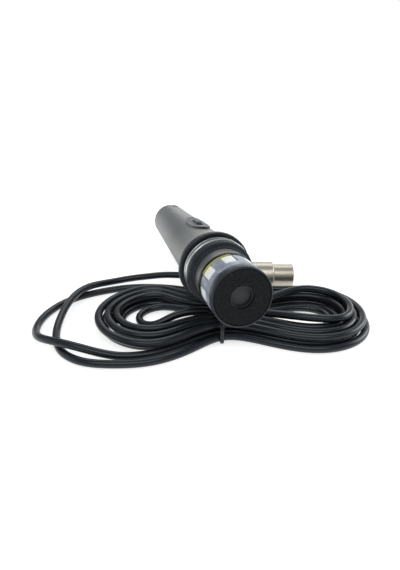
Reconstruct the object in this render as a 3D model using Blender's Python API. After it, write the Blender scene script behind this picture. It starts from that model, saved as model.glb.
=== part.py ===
"""Wired hand-held dynamic microphone, grille off, lying on its tied cable.

Metres, +Z up, table top at z = 0. The microphone lies along Y with its head
towards -Y. The origin is on the table, under the cable tie.
"""
import math

import bmesh
import bpy
import numpy as np
from mathutils import Matrix, Vector

MM = 0.001

# Clearances
GAP = 0.3 * MM            # between pieces that touch
BORE_GAP = 0.35 * MM      # between a cord and the bore it runs in

# Pose of the microphone on the coil
DIP = math.radians(4.6)           # tail lower than head
MIC_X = -2.4 * MM                 # plane of the microphone's axis
MIC_Y = -43.8 * MM                # front felt, along Y
COIL_YAW = math.radians(-15.28)   # coil's long axis from +X

# Cartridge, lengths along the axis from the felt towards the tail
CAP_R = 16.6 * MM
CAP_LEN = 5.4 * MM
CAP_WALL = 0.9 * MM
CAP_FLOOR_AT = 2.2 * MM
CAP_FLOOR = 2.2 * MM
CAP_PORT_R = 5.6 * MM
FELT_HOLE_R = 6.4 * MM
FELT_AT = 0.25 * MM
SCREEN_R = 7.0 * MM
SCREEN_THICK = 0.6 * MM
BAND_R = 16.5 * MM
BAND_LEN = 15.9 * MM
BAND_WALL = 0.6 * MM
PORTS = 8
PORT_LEN = 9.8 * MM
PORT_ARC = math.radians(26.0)
PORT_ROLL = math.radians(-8.0)
PORT_REAR_RIM = 0.9 * MM
GAUZE_THICK = 0.5 * MM
GASKET_R = 16.7 * MM
GASKET_THICK = 0.35 * MM
CAN_R = 15.3 * MM
CAN_LEN = 22.5 * MM
CAN_GROOVE = 1.2 * MM         # narrow part behind the gasket
CAN_SHOULDER_R = 16.2 * MM    # between the groove and the rubber neck
CAN_WALL = 1.2 * MM
BOARD_THICK = 1.4 * MM

# Motor inside the cartridge
BASKET_WALL = 2.0 * MM
DIAPHRAGM_THICK = 0.4 * MM
DIAPHRAGM_DOME = 1.0 * MM
DIAPHRAGM_TRAVEL = 0.25 * MM
COIL_R = 6.3 * MM
COIL_WALL = 0.5 * MM
COIL_LEN = 4.6 * MM
MOTOR_GAP = 0.35 * MM
YOKE_WALL = 2.4 * MM
YOKE_LEN = 8.6 * MM
MAGNET_LEN = 3.6 * MM
POLE_LEN = 2.2 * MM

# Shock mount, thread and head ring
NECK_R = 17.2 * MM
NECK_LEN = 1.6 * MM
NECK_START = 12.4 * MM        # behind the gasket
FLANGE_R = 19.5 * MM
FLANGE_LEN = 4.0 * MM
SPIGOT_OVER = 1.65 * MM        # beyond the end of the can
THREAD_R = 20.0 * MM
THREAD_DEPTH = 0.45 * MM
THREAD_RIDGES = 3
COLLAR_WEB = 1.4 * MM          # behind the end of the spigot
COLLAR_SKIRT = 12.0 * MM
RING_R = 21.75 * MM
RING_LEN = 5.2 * MM
RING_TAPER = 1.4 * MM
RING_RIM = 0.5 * MM            # raised seat for the grille's edge

# Handle
HANDLE_R = 17.85 * MM
TAIL_R = 13.5 * MM
HANDLE_LEN = 124.0 * MM
HANDLE_WALL = 2.2 * MM
TAIL_ROUND = 0.6 * MM
LATCH_WINDOW = (5.5 * MM, 4.6 * MM)   # along the axis, across
LATCH_WINDOW_INSET = 5.0 * MM
LATCH_WINDOW_ROLL = math.radians(14.0)

# Switch on the handle
SWITCH_AT = 40.8 * MM         # from the handle's front end
SWITCH_ROLL = math.radians(7.0)
PLATE_LEN = 35.0 * MM
PLATE_WIDTH = 13.4 * MM
PLATE_THICK = 1.4 * MM
SLOT_LEN = 13.0 * MM
SLOT_WIDTH = 4.6 * MM
SLIDER_LEN = 9.0 * MM
SLIDER_WIDTH = 6.4 * MM
SLIDER_RISE = 0.9 * MM
STEM = 3.6 * MM
SWITCH_TRAVEL = 4.5 * MM
SWITCH_BOX = (8.0 * MM, 19.0 * MM, 7.0 * MM)

# Three-pin socket in the tail
INSERT_LEN = 17.5 * MM
INSERT_FLOOR = 4.0 * MM
SOCKET_R = 8.1 * MM
PIN_R = 1.2 * MM
PIN_LEN = 8.0 * MM
PIN_CIRCLE_R = 3.8 * MM
PINS = 3
SET_SCREW_R = 1.4 * MM

# Inner wiring
WIRE_R = 0.6 * MM
WIRES = 3
WIRE_CIRCLE_R = 4.0 * MM

# Cable and its coil, in the coil's own frame: along, across, up
CORD_D = 4.6 * MM
LAYER_STEP = CORD_D + 0.55 * MM
LOOPS = 7
WAIST_STEP = CORD_D + 0.5 * MM
WAIST_FRONT = 18.7 * MM
WAIST_BACK = 19.3 * MM
RIGHT_END = (55.3 * MM, -0.6 * MM, 29.3 * MM)     # centre and radius
LEFT_END = (-39.5 * MM, -2.0 * MM, 36.0 * MM)
RIGHT_STEP = CORD_D + 0.5 * MM
RIGHT_SPREAD = 0.5 * MM       # more room between the front runs
LEFT_STEP = CORD_D + 0.9 * MM
LEFT_SPREAD = 2.2 * MM
SHOULDER_STEP = CORD_D + 0.8 * MM
PARTS_PER_STATION = 2      # straight pieces between two stations of the coil
LIFT_REACH = 27.0 * MM
COIL_TAIL_POINTS = 3           # route points of the short end that belong to the coil

# Cable tie
TIE_WIDTH = 2.2 * MM
TIE_THICK = 1.0 * MM
TIE_CORNER = 2.6 * MM
TIE_SLACK = 0.9 * MM          # strap to the strands at its two ends
TIE_HEAD = (4.4 * MM, 3.4 * MM, 3.6 * MM)

# Three-hole cable connector, lengths from its nose
PLUG_TIP = (52.4 * MM, 48.6 * MM)     # along and across in the coil's frame
NOSE_R = 7.8 * MM
NOSE_LEN = 12.6 * MM
SHELL_R = 9.5 * MM
SHELL_LEN = 43.0 * MM
SHELL_STEP = 1.8 * MM
SHELL_WALL = 0.9 * MM
PLUG_INSERT_LEN = 21.0 * MM
CONTACT_R = 1.7 * MM
CONTACT_BORE_R = 1.25 * MM
LATCH_WIDTH = 4.0 * MM
LATCH_THICK = 1.3 * MM
LATCH_LEN = 23.0 * MM
LATCH_FRONT = 4.5 * MM
BARB_RISE = 1.2 * MM
BARB_SPAN = (7.5 * MM, 12.2 * MM)
BUTTON_SPAN = (16.5 * MM, 23.0 * MM)
LATCH_ROLL = math.radians(168.0)
LATCH_TURN = math.radians(5.0)
BOOT_ROOT_R = 7.4 * MM
BOOT_NECK_R = 5.0 * MM
BOOT_TIP_R = 3.2 * MM
BOOT_COLLAR = 3.0 * MM
BOOT_LEN = 29.3 * MM
COLLET_LEN = 11.0 * MM
CORD_GRIP = 20.0 * MM                 # cord inside the boot

# Phone plug at the other end
JACK_X = 21.8 * MM
JACK_Y = 88.0 * MM
JACK_BOOT_LEN = 14.0 * MM
JACK_BOOT_TIP_R = 3.6 * MM
JACK_BOOT_R = 5.6 * MM
BARREL_R = 7.0 * MM
BARREL_LEN = 30.0 * MM
BARREL_BORE_R = 5.0 * MM
BARREL_FACE = 3.0 * MM
SHANK_R = 3.175 * MM
SHANK_LEN = 20.0 * MM
SHANK_FLANGE_R = 4.6 * MM
SHANK_FLANGE = 5.0 * MM
RING_INSULATOR = 1.0 * MM
TIP_LEN = 9.0 * MM
TIP_NECK_R = 2.2 * MM

# Facets
ROUND_SIDES = 40
SMALL_SIDES = 24
PIN_SIDES = 12

# Lengths along the microphone that follow from the sizes above
BAND_AT = CAP_LEN + GAP
GASKET_AT = BAND_AT + BAND_LEN + GAP
CAN_AT = GASKET_AT + GASKET_THICK + GAP
CAN_END = CAN_AT + CAN_LEN
NECK_AT = GASKET_AT + NECK_START
FLANGE_AT = NECK_AT + NECK_LEN
SPIGOT_END = CAN_END + SPIGOT_OVER
COLLAR_AT = FLANGE_AT + FLANGE_LEN + GAP
COLLAR_LEN = SPIGOT_END + GAP + COLLAR_WEB - COLLAR_AT
RING_AT = COLLAR_AT + COLLAR_LEN + GAP - RING_RIM
HANDLE_AT = RING_AT + RING_LEN + GAP
TAIL_AT = HANDLE_AT + HANDLE_LEN
CONE = math.atan2(HANDLE_R - TAIL_R, HANDLE_LEN)

# Heights that follow from the coil and its tie
CORD_R = CORD_D / 2
FLOOR_Z = CORD_R
WAIST_LIFT = TIE_THICK + GAP
TIE_INNER_TOP = FLOOR_Z + WAIST_LIFT + LAYER_STEP + CORD_R + GAP
TIE_TOP = TIE_INNER_TOP + TIE_THICK
RING_Y = MIC_Y + (RING_AT + RING_LEN - RING_TAPER) * math.cos(DIP)
STRAP_OFFSET = max(0.0, -RING_Y * math.tan(COIL_YAW) - TIE_WIDTH - MIC_X)
RING_DROP = math.sqrt(RING_R ** 2 - STRAP_OFFSET ** 2)
MIC_Z = TIE_TOP + GAP + RING_DROP * math.cos(DIP) + (RING_Y - MIC_Y) * math.tan(DIP)


for old in list(bpy.data.objects):
    bpy.data.objects.remove(old, do_unlink=True)


def material(name, colour, metallic, roughness):
    """A Principled material of its own for one node."""
    mat = bpy.data.materials.new(name)
    mat.use_nodes = True
    shader = mat.node_tree.nodes["Principled BSDF"]
    shader.inputs["Base Color"].default_value = (*colour, 1.0)
    shader.inputs["Metallic"].default_value = metallic
    shader.inputs["Roughness"].default_value = roughness
    return mat


FINISH = {
    "black": ((0.02, 0.02, 0.022), 0.0, 0.4),
    "rubber": ((0.015, 0.015, 0.016), 0.0, 0.7),
    "felt": ((0.02, 0.02, 0.02), 0.0, 0.95),
    "paint": ((0.27, 0.28, 0.27), 0.3, 0.5),
    "clear_grey": ((0.45, 0.47, 0.52), 0.0, 0.35),
    "white": ((0.8, 0.8, 0.74), 0.0, 0.8),
    "yellow": ((0.75, 0.72, 0.12), 0.0, 0.5),
    "steel": ((0.45, 0.45, 0.46), 0.9, 0.35),
    "nickel": ((0.62, 0.58, 0.52), 1.0, 0.25),
    "gold": ((0.75, 0.6, 0.3), 1.0, 0.3),
    "copper": ((0.7, 0.35, 0.18), 1.0, 0.4),
    "board": ((0.1, 0.2, 0.08), 0.0, 0.6),
    "film": ((0.7, 0.7, 0.72), 0.0, 0.3),
}


def make_object(name, mesh, finish, frame):
    """Link a mesh as the node called name, standing in frame."""
    mesh.materials.append(material(name, *FINISH[finish]))
    mesh.shade_smooth()
    mesh.set_sharp_from_angle(angle=math.radians(35.0))
    obj = bpy.data.objects.new(name, mesh)
    obj.matrix_world = frame
    bpy.context.scene.collection.objects.link(obj)
    return obj


def mesh_from(name, bm):
    """A mesh with outward faces from a bmesh."""
    bmesh.ops.recalc_face_normals(bm, faces=bm.faces)
    mesh = bpy.data.meshes.new(name)
    bm.to_mesh(mesh)
    bm.free()
    return mesh


def revolve(bm, profile, count, place=Matrix.Identity(4)):
    """Turn a closed outline of (along, radius) about local Y."""
    verts = [bm.verts.new((0.0, along, radius)) for along, radius in profile]
    edges = []
    for here, there in zip(verts, verts[1:] + verts[:1]):
        if here.co.z > 1e-9 or there.co.z > 1e-9:
            edges.append(bm.edges.new((here, there)))
    bmesh.ops.spin(bm, geom=verts + edges, cent=(0, 0, 0), axis=(0, 1, 0), angle=2 * math.pi,
                   steps=count, use_merge=True)
    turned = list(bm.verts)
    bmesh.ops.remove_doubles(bm, verts=turned, dist=1e-7)
    bmesh.ops.transform(bm, matrix=place, verts=bm.verts)


def lathe(name, profile, finish, frame, count=ROUND_SIDES):
    """One turned piece."""
    bm = bmesh.new()
    revolve(bm, profile, count)
    return make_object(name, mesh_from(name, bm), finish, frame)


def add_box(bm, low, high, place=Matrix.Identity(4)):
    """An axis-aligned box in local space, moved by place."""
    corners = []
    for x in (low[0], high[0]):
        for y in (low[1], high[1]):
            for z in (low[2], high[2]):
                corners.append(bm.verts.new(place @ Vector((x, y, z))))
    for face in ((0, 1, 3, 2), (4, 6, 7, 5), (0, 4, 5, 1), (2, 3, 7, 6), (0, 2, 6, 4), (1, 5, 7, 3)):
        bm.faces.new([corners[i] for i in face])


def cut(obj, name, bm, frame):
    """Subtract a hidden cutter from obj."""
    bmesh.ops.recalc_face_normals(bm, faces=bm.faces)
    mesh = bpy.data.meshes.new(name)
    bm.to_mesh(mesh)
    bm.free()
    cutter = bpy.data.objects.new(name, mesh)
    cutter.matrix_world = frame
    cutter.hide_render = True
    cutter.display_type = "WIRE"
    bpy.context.scene.collection.objects.link(cutter)
    mod = obj.modifiers.new(name, "BOOLEAN")
    mod.operation = "DIFFERENCE"
    mod.solver = "EXACT"
    mod.object = cutter


def roll_about_axis(angle):
    """Turn about local Y so that local Z points to the given roll."""
    return Matrix.Rotation(angle, 4, "Y")


# Frames: the microphone, the coil, the connector and the phone plug
MIC = Matrix.Translation((MIC_X, MIC_Y, MIC_Z)) @ Matrix.Rotation(-DIP, 4, "X")
COIL = Matrix.Rotation(COIL_YAW, 4, "Z")
PLUG = (COIL @ Matrix.Translation((PLUG_TIP[0], PLUG_TIP[1], SHELL_R))
        @ Matrix.Rotation(math.pi / 2, 4, "Z"))
JACK = Matrix.Translation((JACK_X, JACK_Y, BARREL_R))


def handle_radius(along):
    """Outer radius of the handle at a length from the felt."""
    return HANDLE_R - (along - HANDLE_AT) * math.tan(CONE)


def build_cartridge():
    """Everything from the felt to the terminal board."""
    shelf_r = CAP_R - CAP_WALL
    floor_end = CAP_FLOOR_AT + CAP_FLOOR
    edge = 0.5 * MM
    lathe("front_cap", [
        (0.0, shelf_r), (0.0, CAP_R - edge), (edge, CAP_R), (CAP_LEN, CAP_R),
        (CAP_LEN, shelf_r), (floor_end, shelf_r), (floor_end, CAP_PORT_R),
        (CAP_FLOOR_AT, CAP_PORT_R), (CAP_FLOOR_AT, shelf_r)], "black", MIC)
    lathe("front_felt", [
        (FELT_AT, FELT_HOLE_R), (FELT_AT, shelf_r - GAP),
        (CAP_FLOOR_AT - GAP, shelf_r - GAP), (CAP_FLOOR_AT - GAP, FELT_HOLE_R)], "felt", MIC)
    screen_at = floor_end + GAP
    lathe("center_screen", [
        (screen_at, 0.0), (screen_at, SCREEN_R),
        (screen_at + SCREEN_THICK, SCREEN_R), (screen_at + SCREEN_THICK, 0.0)], "clear_grey", MIC, SMALL_SIDES)
    build_port_band()
    gauze_out = BAND_R - BAND_WALL - GAP
    gauze_in = gauze_out - GAUZE_THICK
    band_end = BAND_AT + BAND_LEN
    lathe("port_gauze", [
        (BAND_AT, gauze_in), (BAND_AT, gauze_out), (band_end, gauze_out), (band_end, gauze_in)], "white", MIC)
    gasket_in = CAN_R - 1.2 * MM
    lathe("can_gasket", [
        (GASKET_AT, gasket_in), (GASKET_AT, GASKET_R),
        (GASKET_AT + GASKET_THICK, GASKET_R), (GASKET_AT + GASKET_THICK, gasket_in)], "yellow", MIC)
    can_in = CAN_R - CAN_WALL
    shoulder_at = CAN_AT + CAN_GROOVE
    shoulder_end = NECK_AT - GAP
    lathe("cartridge_can", [
        (CAN_AT, can_in), (CAN_AT, CAN_R), (shoulder_at, CAN_R), (shoulder_at, CAN_SHOULDER_R),
        (shoulder_end, CAN_SHOULDER_R), (shoulder_end, CAN_R), (CAN_END, CAN_R), (CAN_END, can_in)], "steel", MIC)
    board_r = can_in - GAP
    lathe("terminal_board", [
        (CAN_END - BOARD_THICK, 0.0), (CAN_END - BOARD_THICK, board_r),
        (CAN_END, board_r), (CAN_END, 0.0)], "board", MIC, SMALL_SIDES)
    build_motor(gauze_in, screen_at + SCREEN_THICK)


def build_port_band():
    """Ring with a row of windows, as one closed shell."""
    pitch = 2 * math.pi / PORTS
    half = PORT_ARC / 2
    parts = (-half, -half / 3, half / 3, half, pitch / 2)
    angles = [PORT_ROLL + k * pitch + part for k in range(PORTS) for part in parts]
    port_end = BAND_AT + BAND_LEN - PORT_REAR_RIM
    stops = (BAND_AT, port_end - PORT_LEN, port_end, BAND_AT + BAND_LEN)
    radii = (BAND_R - BAND_WALL, BAND_R)
    bm = bmesh.new()
    grid = {}
    for a, angle in enumerate(angles):
        for s, stop in enumerate(stops):
            for r, radius in enumerate(radii):
                grid[a, s, r] = bm.verts.new((radius * math.sin(angle), stop, radius * math.cos(angle)))
    count = len(angles)

    def solid(a, s):
        return 0 <= s < 3 and not (s == 1 and a % 5 < 3)

    for a in range(count):
        b = (a + 1) % count
        for s in range(3):
            if not solid(a, s):
                continue
            for r in (0, 1):
                bm.faces.new((grid[a, s, r], grid[b, s, r], grid[b, s + 1, r], grid[a, s + 1, r]))
            if not solid(a, s - 1):
                bm.faces.new((grid[a, s, 0], grid[b, s, 0], grid[b, s, 1], grid[a, s, 1]))
            if not solid(a, s + 1):
                bm.faces.new((grid[a, s + 1, 0], grid[b, s + 1, 0], grid[b, s + 1, 1], grid[a, s + 1, 1]))
            if not solid((a - 1) % count, s):
                bm.faces.new((grid[a, s, 0], grid[a, s + 1, 0], grid[a, s + 1, 1], grid[a, s, 1]))
            if not solid(b, s):
                bm.faces.new((grid[b, s, 0], grid[b, s + 1, 0], grid[b, s + 1, 1], grid[b, s, 1]))
    make_object("port_band", mesh_from("port_band", bm), "clear_grey", MIC)


def build_motor(gauze_in, front):
    """Diaphragm, voice coil, magnet and the basket that holds them."""
    basket_r = gauze_in - GAP
    film_at = front + GAP + DIAPHRAGM_DOME + DIAPHRAGM_TRAVEL
    film_end = film_at + DIAPHRAGM_THICK
    dome_r = COIL_R + COIL_WALL
    lathe("diaphragm", [
        (film_at - DIAPHRAGM_DOME, 0.0), (film_at - 0.8 * DIAPHRAGM_DOME, 0.5 * dome_r), (film_at, dome_r),
        (film_at, basket_r), (film_end, basket_r), (film_end, dome_r),
        (film_end - 0.8 * DIAPHRAGM_DOME, 0.5 * dome_r), (film_end - DIAPHRAGM_DOME, 0.0)],
        "film", MIC, SMALL_SIDES)
    coil_at = film_end + GAP
    coil_end = coil_at + COIL_LEN
    lathe("voice_coil", [
        (coil_at, COIL_R), (coil_at, COIL_R + COIL_WALL),
        (coil_end, COIL_R + COIL_WALL), (coil_end, COIL_R)], "copper", MIC, SMALL_SIDES)
    basket_at = film_end + DIAPHRAGM_TRAVEL + GAP
    basket_end = BAND_AT + BAND_LEN
    yoke_r = basket_r - BASKET_WALL - GAP
    lathe("basket", [
        (basket_at, yoke_r + GAP), (basket_at, basket_r), (basket_end, basket_r), (basket_end, yoke_r + GAP)],
        "black", MIC)
    yoke_at = basket_at + 0.8 * MM
    yoke_end = yoke_at + YOKE_LEN
    coil_out = COIL_R + COIL_WALL + MOTOR_GAP
    lip = YOKE_WALL
    cup_r = yoke_r - YOKE_WALL
    lathe("yoke", [
        (yoke_at, coil_out), (yoke_at, yoke_r), (yoke_end, yoke_r), (yoke_end, 0.0),
        (yoke_end - YOKE_WALL, 0.0), (yoke_end - YOKE_WALL, cup_r), (yoke_at + lip, cup_r),
        (yoke_at + lip, coil_out)], "steel", MIC, SMALL_SIDES)
    magnet_end = yoke_end - YOKE_WALL - GAP
    magnet_r = COIL_R - MOTOR_GAP - 0.6 * MM
    magnet_at = magnet_end - MAGNET_LEN
    lathe("magnet", [
        (magnet_at, 0.0), (magnet_at, magnet_r), (magnet_end, magnet_r), (magnet_end, 0.0)],
        "steel", MIC, SMALL_SIDES)
    pole_end = magnet_at - GAP
    pole_at = pole_end - POLE_LEN
    pole_r = COIL_R - MOTOR_GAP
    lathe("pole_piece", [
        (pole_at, 0.0), (pole_at, pole_r), (pole_end, pole_r), (pole_end, 0.0)], "steel", MIC, SMALL_SIDES)


def build_head():
    """Rubber shock mount, threaded collar and head ring."""
    inner = CAN_R + GAP
    spigot_r = NECK_R
    edge = 0.6 * MM
    lathe("shock_mount", [
        (NECK_AT, inner), (NECK_AT, NECK_R - edge), (NECK_AT + edge, NECK_R), (FLANGE_AT, NECK_R),
        (FLANGE_AT, FLANGE_R - edge), (FLANGE_AT + edge, FLANGE_R), (FLANGE_AT + FLANGE_LEN, FLANGE_R),
        (FLANGE_AT + FLANGE_LEN, spigot_r), (SPIGOT_END, spigot_r), (SPIGOT_END, inner)], "rubber", MIC)
    bore = spigot_r + GAP
    ridge = COLLAR_LEN / (2 * THREAD_RIDGES)
    outline = [(COLLAR_AT, bore)]
    for k in range(THREAD_RIDGES):
        start = COLLAR_AT + 2 * k * ridge
        outline += [(start, THREAD_R - THREAD_DEPTH), (start + 0.35 * ridge, THREAD_R),
                    (start + ridge, THREAD_R), (start + 1.35 * ridge, THREAD_R - THREAD_DEPTH)]
    collar_end = COLLAR_AT + COLLAR_LEN
    handle_in = handle_radius(HANDLE_AT + COLLAR_SKIRT) - HANDLE_WALL
    skirt_r = min(handle_in, bore + 1.2 * MM) - GAP
    skirt_in = min(bore, skirt_r - 1.0 * MM)
    outline += [(collar_end, THREAD_R - THREAD_DEPTH), (collar_end, skirt_r),
                (collar_end + COLLAR_SKIRT, skirt_r), (collar_end + COLLAR_SKIRT, skirt_in),
                (SPIGOT_END + GAP, skirt_in), (SPIGOT_END + GAP, bore)]
    lathe("thread_collar", outline, "steel", MIC)
    ring_end = RING_AT + RING_LEN
    round_r = 0.5 * MM
    lathe("head_ring", [
        (RING_AT + RING_RIM, skirt_r + GAP), (RING_AT + RING_RIM, THREAD_R + GAP), (RING_AT, THREAD_R + GAP),
        (RING_AT, RING_R - round_r), (RING_AT + round_r, RING_R),
        (ring_end - RING_TAPER, RING_R), (ring_end, RING_R - RING_TAPER), (ring_end, skirt_r + GAP)],
        "black", MIC)


def build_handle():
    """Conical handle with its openings."""
    slope = math.tan(CONE)
    rounded = TAIL_AT - TAIL_ROUND
    obj = lathe("handle_shell", [
        (HANDLE_AT, HANDLE_R - HANDLE_WALL), (HANDLE_AT, HANDLE_R),
        (rounded, TAIL_R + TAIL_ROUND * slope), (TAIL_AT, TAIL_R - TAIL_ROUND),
        (TAIL_AT, TAIL_R - HANDLE_WALL)], "paint", MIC, 48)
    window = bmesh.new()
    centre = HANDLE_AT + SWITCH_AT
    reach = SLOT_LEN / 2 + 1.0 * MM
    side = SLOT_WIDTH / 2 + 0.8 * MM
    radius = handle_radius(centre)
    turn = roll_about_axis(SWITCH_ROLL)
    add_box(window, (-side, centre - reach, radius - 3 * HANDLE_WALL),
            (side, centre + reach, radius + HANDLE_WALL), turn)
    latch_end = TAIL_AT - LATCH_WINDOW_INSET
    half = LATCH_WINDOW[1] / 2
    add_box(window, (-half, latch_end - LATCH_WINDOW[0], TAIL_R - 1.5 * HANDLE_WALL),
            (half, latch_end, TAIL_R + HANDLE_WALL), roll_about_axis(LATCH_WINDOW_ROLL))
    cut(obj, "handle_cutter", window, MIC)
    low = TAIL_R - 2 * HANDLE_WALL
    high = TAIL_R + 2 * HANDLE_WALL
    hole = bmesh.new()
    revolve(hole, [(low, 0.0), (low, SET_SCREW_R + GAP), (high, SET_SCREW_R + GAP), (high, 0.0)], PIN_SIDES)
    cut(obj, "screw_cutter", hole, MIC @ screw_place())


def screw_place():
    """Radial place of the tail's set screw: local Y points outwards, below."""
    screw_at = TAIL_AT - INSERT_LEN + INSERT_FLOOR / 2
    return (roll_about_axis(SWITCH_ROLL + math.pi) @ Matrix.Translation((0.0, screw_at, 0.0))
            @ Matrix.Rotation(math.pi / 2, 4, "X"))


def beside_axis(radius, roll, k, spread):
    """Place of one of three pieces fanned about the side opposite to roll."""
    angle = roll + math.pi + (k - 1) * math.radians(spread)
    return Matrix.Translation((radius * math.sin(angle), 0.0, radius * math.cos(angle)))


def switch_frame():
    """Frame on the handle under the switch: Y to the tail, Z outwards."""
    centre = HANDLE_AT + SWITCH_AT
    seat = Vector((0.0, centre, handle_radius(centre)))
    return MIC @ roll_about_axis(SWITCH_ROLL) @ Matrix.Translation(seat) @ Matrix.Rotation(-CONE, 4, "X")


def seat_height(x, y):
    """Height of the handle's surface in the switch frame."""
    radius = handle_radius(HANDLE_AT + SWITCH_AT) / math.cos(CONE) - y * math.tan(CONE)
    return math.sqrt(max(radius ** 2 - x ** 2, 0.0)) - radius


def build_switch():
    """Oval plate, slider and the switch behind the wall."""
    frame = switch_frame()
    count = 32
    bm = bmesh.new()
    loops = []
    for half_len, half_width, power in ((PLATE_LEN / 2, PLATE_WIDTH / 2, 0.9), (SLOT_LEN / 2, SLOT_WIDTH / 2, 0.45)):
        for rise in (GAP, GAP + PLATE_THICK):
            loop = []
            for i in range(count):
                angle = 2 * math.pi * (i + 0.5) / count
                x = half_width * math.copysign(abs(math.sin(angle)) ** power, math.sin(angle))
                y = half_len * math.copysign(abs(math.cos(angle)) ** power, math.cos(angle))
                loop.append(bm.verts.new((x, y, seat_height(x, y) + rise)))
            loops.append(loop)
    outer_low, outer_high, inner_low, inner_high = loops
    for i in range(count):
        j = (i + 1) % count
        for one, two in ((outer_low, outer_high), (outer_high, inner_high), (inner_high, inner_low), (inner_low, outer_low)):
            bm.faces.new((one[i], one[j], two[j], two[i]))
    make_object("switch_plate", mesh_from("switch_plate", bm), "black", frame)
    build_slider(frame)
    box = bmesh.new()
    wide, long, deep = SWITCH_BOX
    inner = handle_radius(HANDLE_AT + SWITCH_AT + long / 2) - HANDLE_WALL
    top = -HANDLE_WALL - (inner - math.sqrt(inner ** 2 - (wide / 2) ** 2)) - 2 * GAP
    add_box(box, (-wide / 2, -long / 2, top - deep), (wide / 2, long / 2, top))
    make_object("switch_body", mesh_from("switch_body", box), "black", frame)


def build_slider(frame):
    """Thumb slider with ribs on top and a stem through the slot."""
    base = GAP + PLATE_THICK + GAP
    # Rest is towards the tail; it slides towards the head
    rest = SWITCH_TRAVEL / 2
    head = [(-SLIDER_LEN / 2, base), (-SLIDER_LEN / 2, base + 0.8 * SLIDER_RISE)]
    ribs = 4
    rib = SLIDER_LEN / ribs
    for k in range(ribs):
        y = -SLIDER_LEN / 2 + k * rib
        head += [(y + 0.3 * rib, base + SLIDER_RISE), (y + 0.7 * rib, base + SLIDER_RISE)]
        if k < ribs - 1:
            head.append((y + rib, base + 0.7 * SLIDER_RISE))
    head += [(SLIDER_LEN / 2, base + 0.8 * SLIDER_RISE), (SLIDER_LEN / 2, base)]
    stem_low = -HANDLE_WALL - GAP
    # The head of the slider is wider than its stem, so it is made in slices
    half_stem = SLOT_WIDTH / 2 - 0.5 * MM
    slices = (-SLIDER_WIDTH / 2, -half_stem, half_stem, SLIDER_WIDTH / 2)
    bm = bmesh.new()

    def ring_at(x, outline):
        return [bm.verts.new((x, y + rest, z)) for y, z in outline]

    stops = [ring_at(x, head) for x in slices]
    count = len(head)
    for here, there in zip(stops, stops[1:]):
        for i in range(count - 1):
            bm.faces.new((here[i], here[i + 1], there[i + 1], there[i]))
    bm.faces.new(stops[0])
    bm.faces.new(stops[-1])
    for here, there in ((stops[0], stops[1]), (stops[2], stops[3])):
        bm.faces.new((here[-1], here[0], there[0], there[-1]))
    # Underside between the slices, round the stem
    low = stops[1]
    far = stops[2]
    stem_top = []
    stem_end = []
    for x in (-half_stem, half_stem):
        for y in (-STEM / 2, STEM / 2):
            stem_top.append(bm.verts.new((x, y + rest, base)))
            stem_end.append(bm.verts.new((x, y + rest, stem_low)))
    bm.faces.new((low[0], stem_top[0], stem_top[2], far[0]))
    bm.faces.new((low[-1], stem_top[1], stem_top[3], far[-1]))
    for a, b in ((0, 1), (1, 3), (3, 2), (2, 0)):
        bm.faces.new((stem_top[a], stem_top[b], stem_end[b], stem_end[a]))
    bm.faces.new((stem_end[0], stem_end[1], stem_end[3], stem_end[2]))
    # The outer slices meet the stem's corners along their inner edges
    for ring, first in ((low, 0), (far, 2)):
        edge_face(bm, ring, stem_top[first], stem_top[first + 1])
    make_object("switch_slider", mesh_from("switch_slider", bm), "black", frame)


def edge_face(bm, ring, near, far):
    """Rejoin a long underside edge through two points that lie on it."""
    for face in list(ring[0].link_faces):
        verts = list(face.verts)
        if ring[-1] in verts and len(verts) == 4:
            i = verts.index(ring[0])
            if verts[(i + 1) % 4] is ring[-1]:
                order = verts[:i + 1] + [near, far] + verts[i + 1:]
            elif verts[(i - 1) % 4] is ring[-1]:
                order = verts[:i] + [far, near] + verts[i:]
            else:
                continue
            bm.faces.remove(face)
            bm.faces.new(order)
            return


def build_tail():
    """Three-pin socket, its screw and the wires to the cartridge."""
    insert_r = TAIL_R - HANDLE_WALL - GAP
    insert_at = TAIL_AT - INSERT_LEN
    insert_end = TAIL_AT - GAP
    lathe("tail_insert", [
        (insert_at, 0.0), (insert_at, insert_r), (insert_end, insert_r), (insert_end, SOCKET_R),
        (insert_at + INSERT_FLOOR, SOCKET_R), (insert_at + INSERT_FLOOR, 0.0)], "black", MIC, SMALL_SIDES)
    pin_at = insert_at + INSERT_FLOOR + GAP
    tip = pin_at + PIN_LEN
    for k in range(PINS):
        lathe("tail_pin_%d" % (k + 1), [
            (pin_at, 0.0), (pin_at, PIN_R), (tip - PIN_R / 2, PIN_R), (tip, PIN_R / 2), (tip, 0.0)],
            "nickel", MIC @ beside_axis(PIN_CIRCLE_R, SWITCH_ROLL, k, 100.0), PIN_SIDES)
    screw_at = insert_at + INSERT_FLOOR / 2
    outer = handle_radius(screw_at) - 0.4 * MM
    inner = insert_r + GAP
    lathe("tail_screw", [(inner, 0.0), (inner, SET_SCREW_R), (outer, SET_SCREW_R), (outer, 0.0)],
          "steel", MIC @ screw_place(), PIN_SIDES)
    start = CAN_END + GAP
    end = insert_at - GAP
    for k in range(WIRES):
        lathe("lead_wire_%d" % (k + 1), [(start, 0.0), (start, WIRE_R), (end, WIRE_R), (end, 0.0)],
              "copper", MIC @ beside_axis(WIRE_CIRCLE_R, SWITCH_ROLL, k, 50.0), 8)


def end_arc(end, start):
    """Five places round one end of the coil."""
    along, across, radius = end
    places = []
    for k in range(5):
        angle = math.radians(start + 45.0 * k)
        places.append((along + radius * math.cos(angle), across + radius * math.sin(angle)))
    return places


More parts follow.
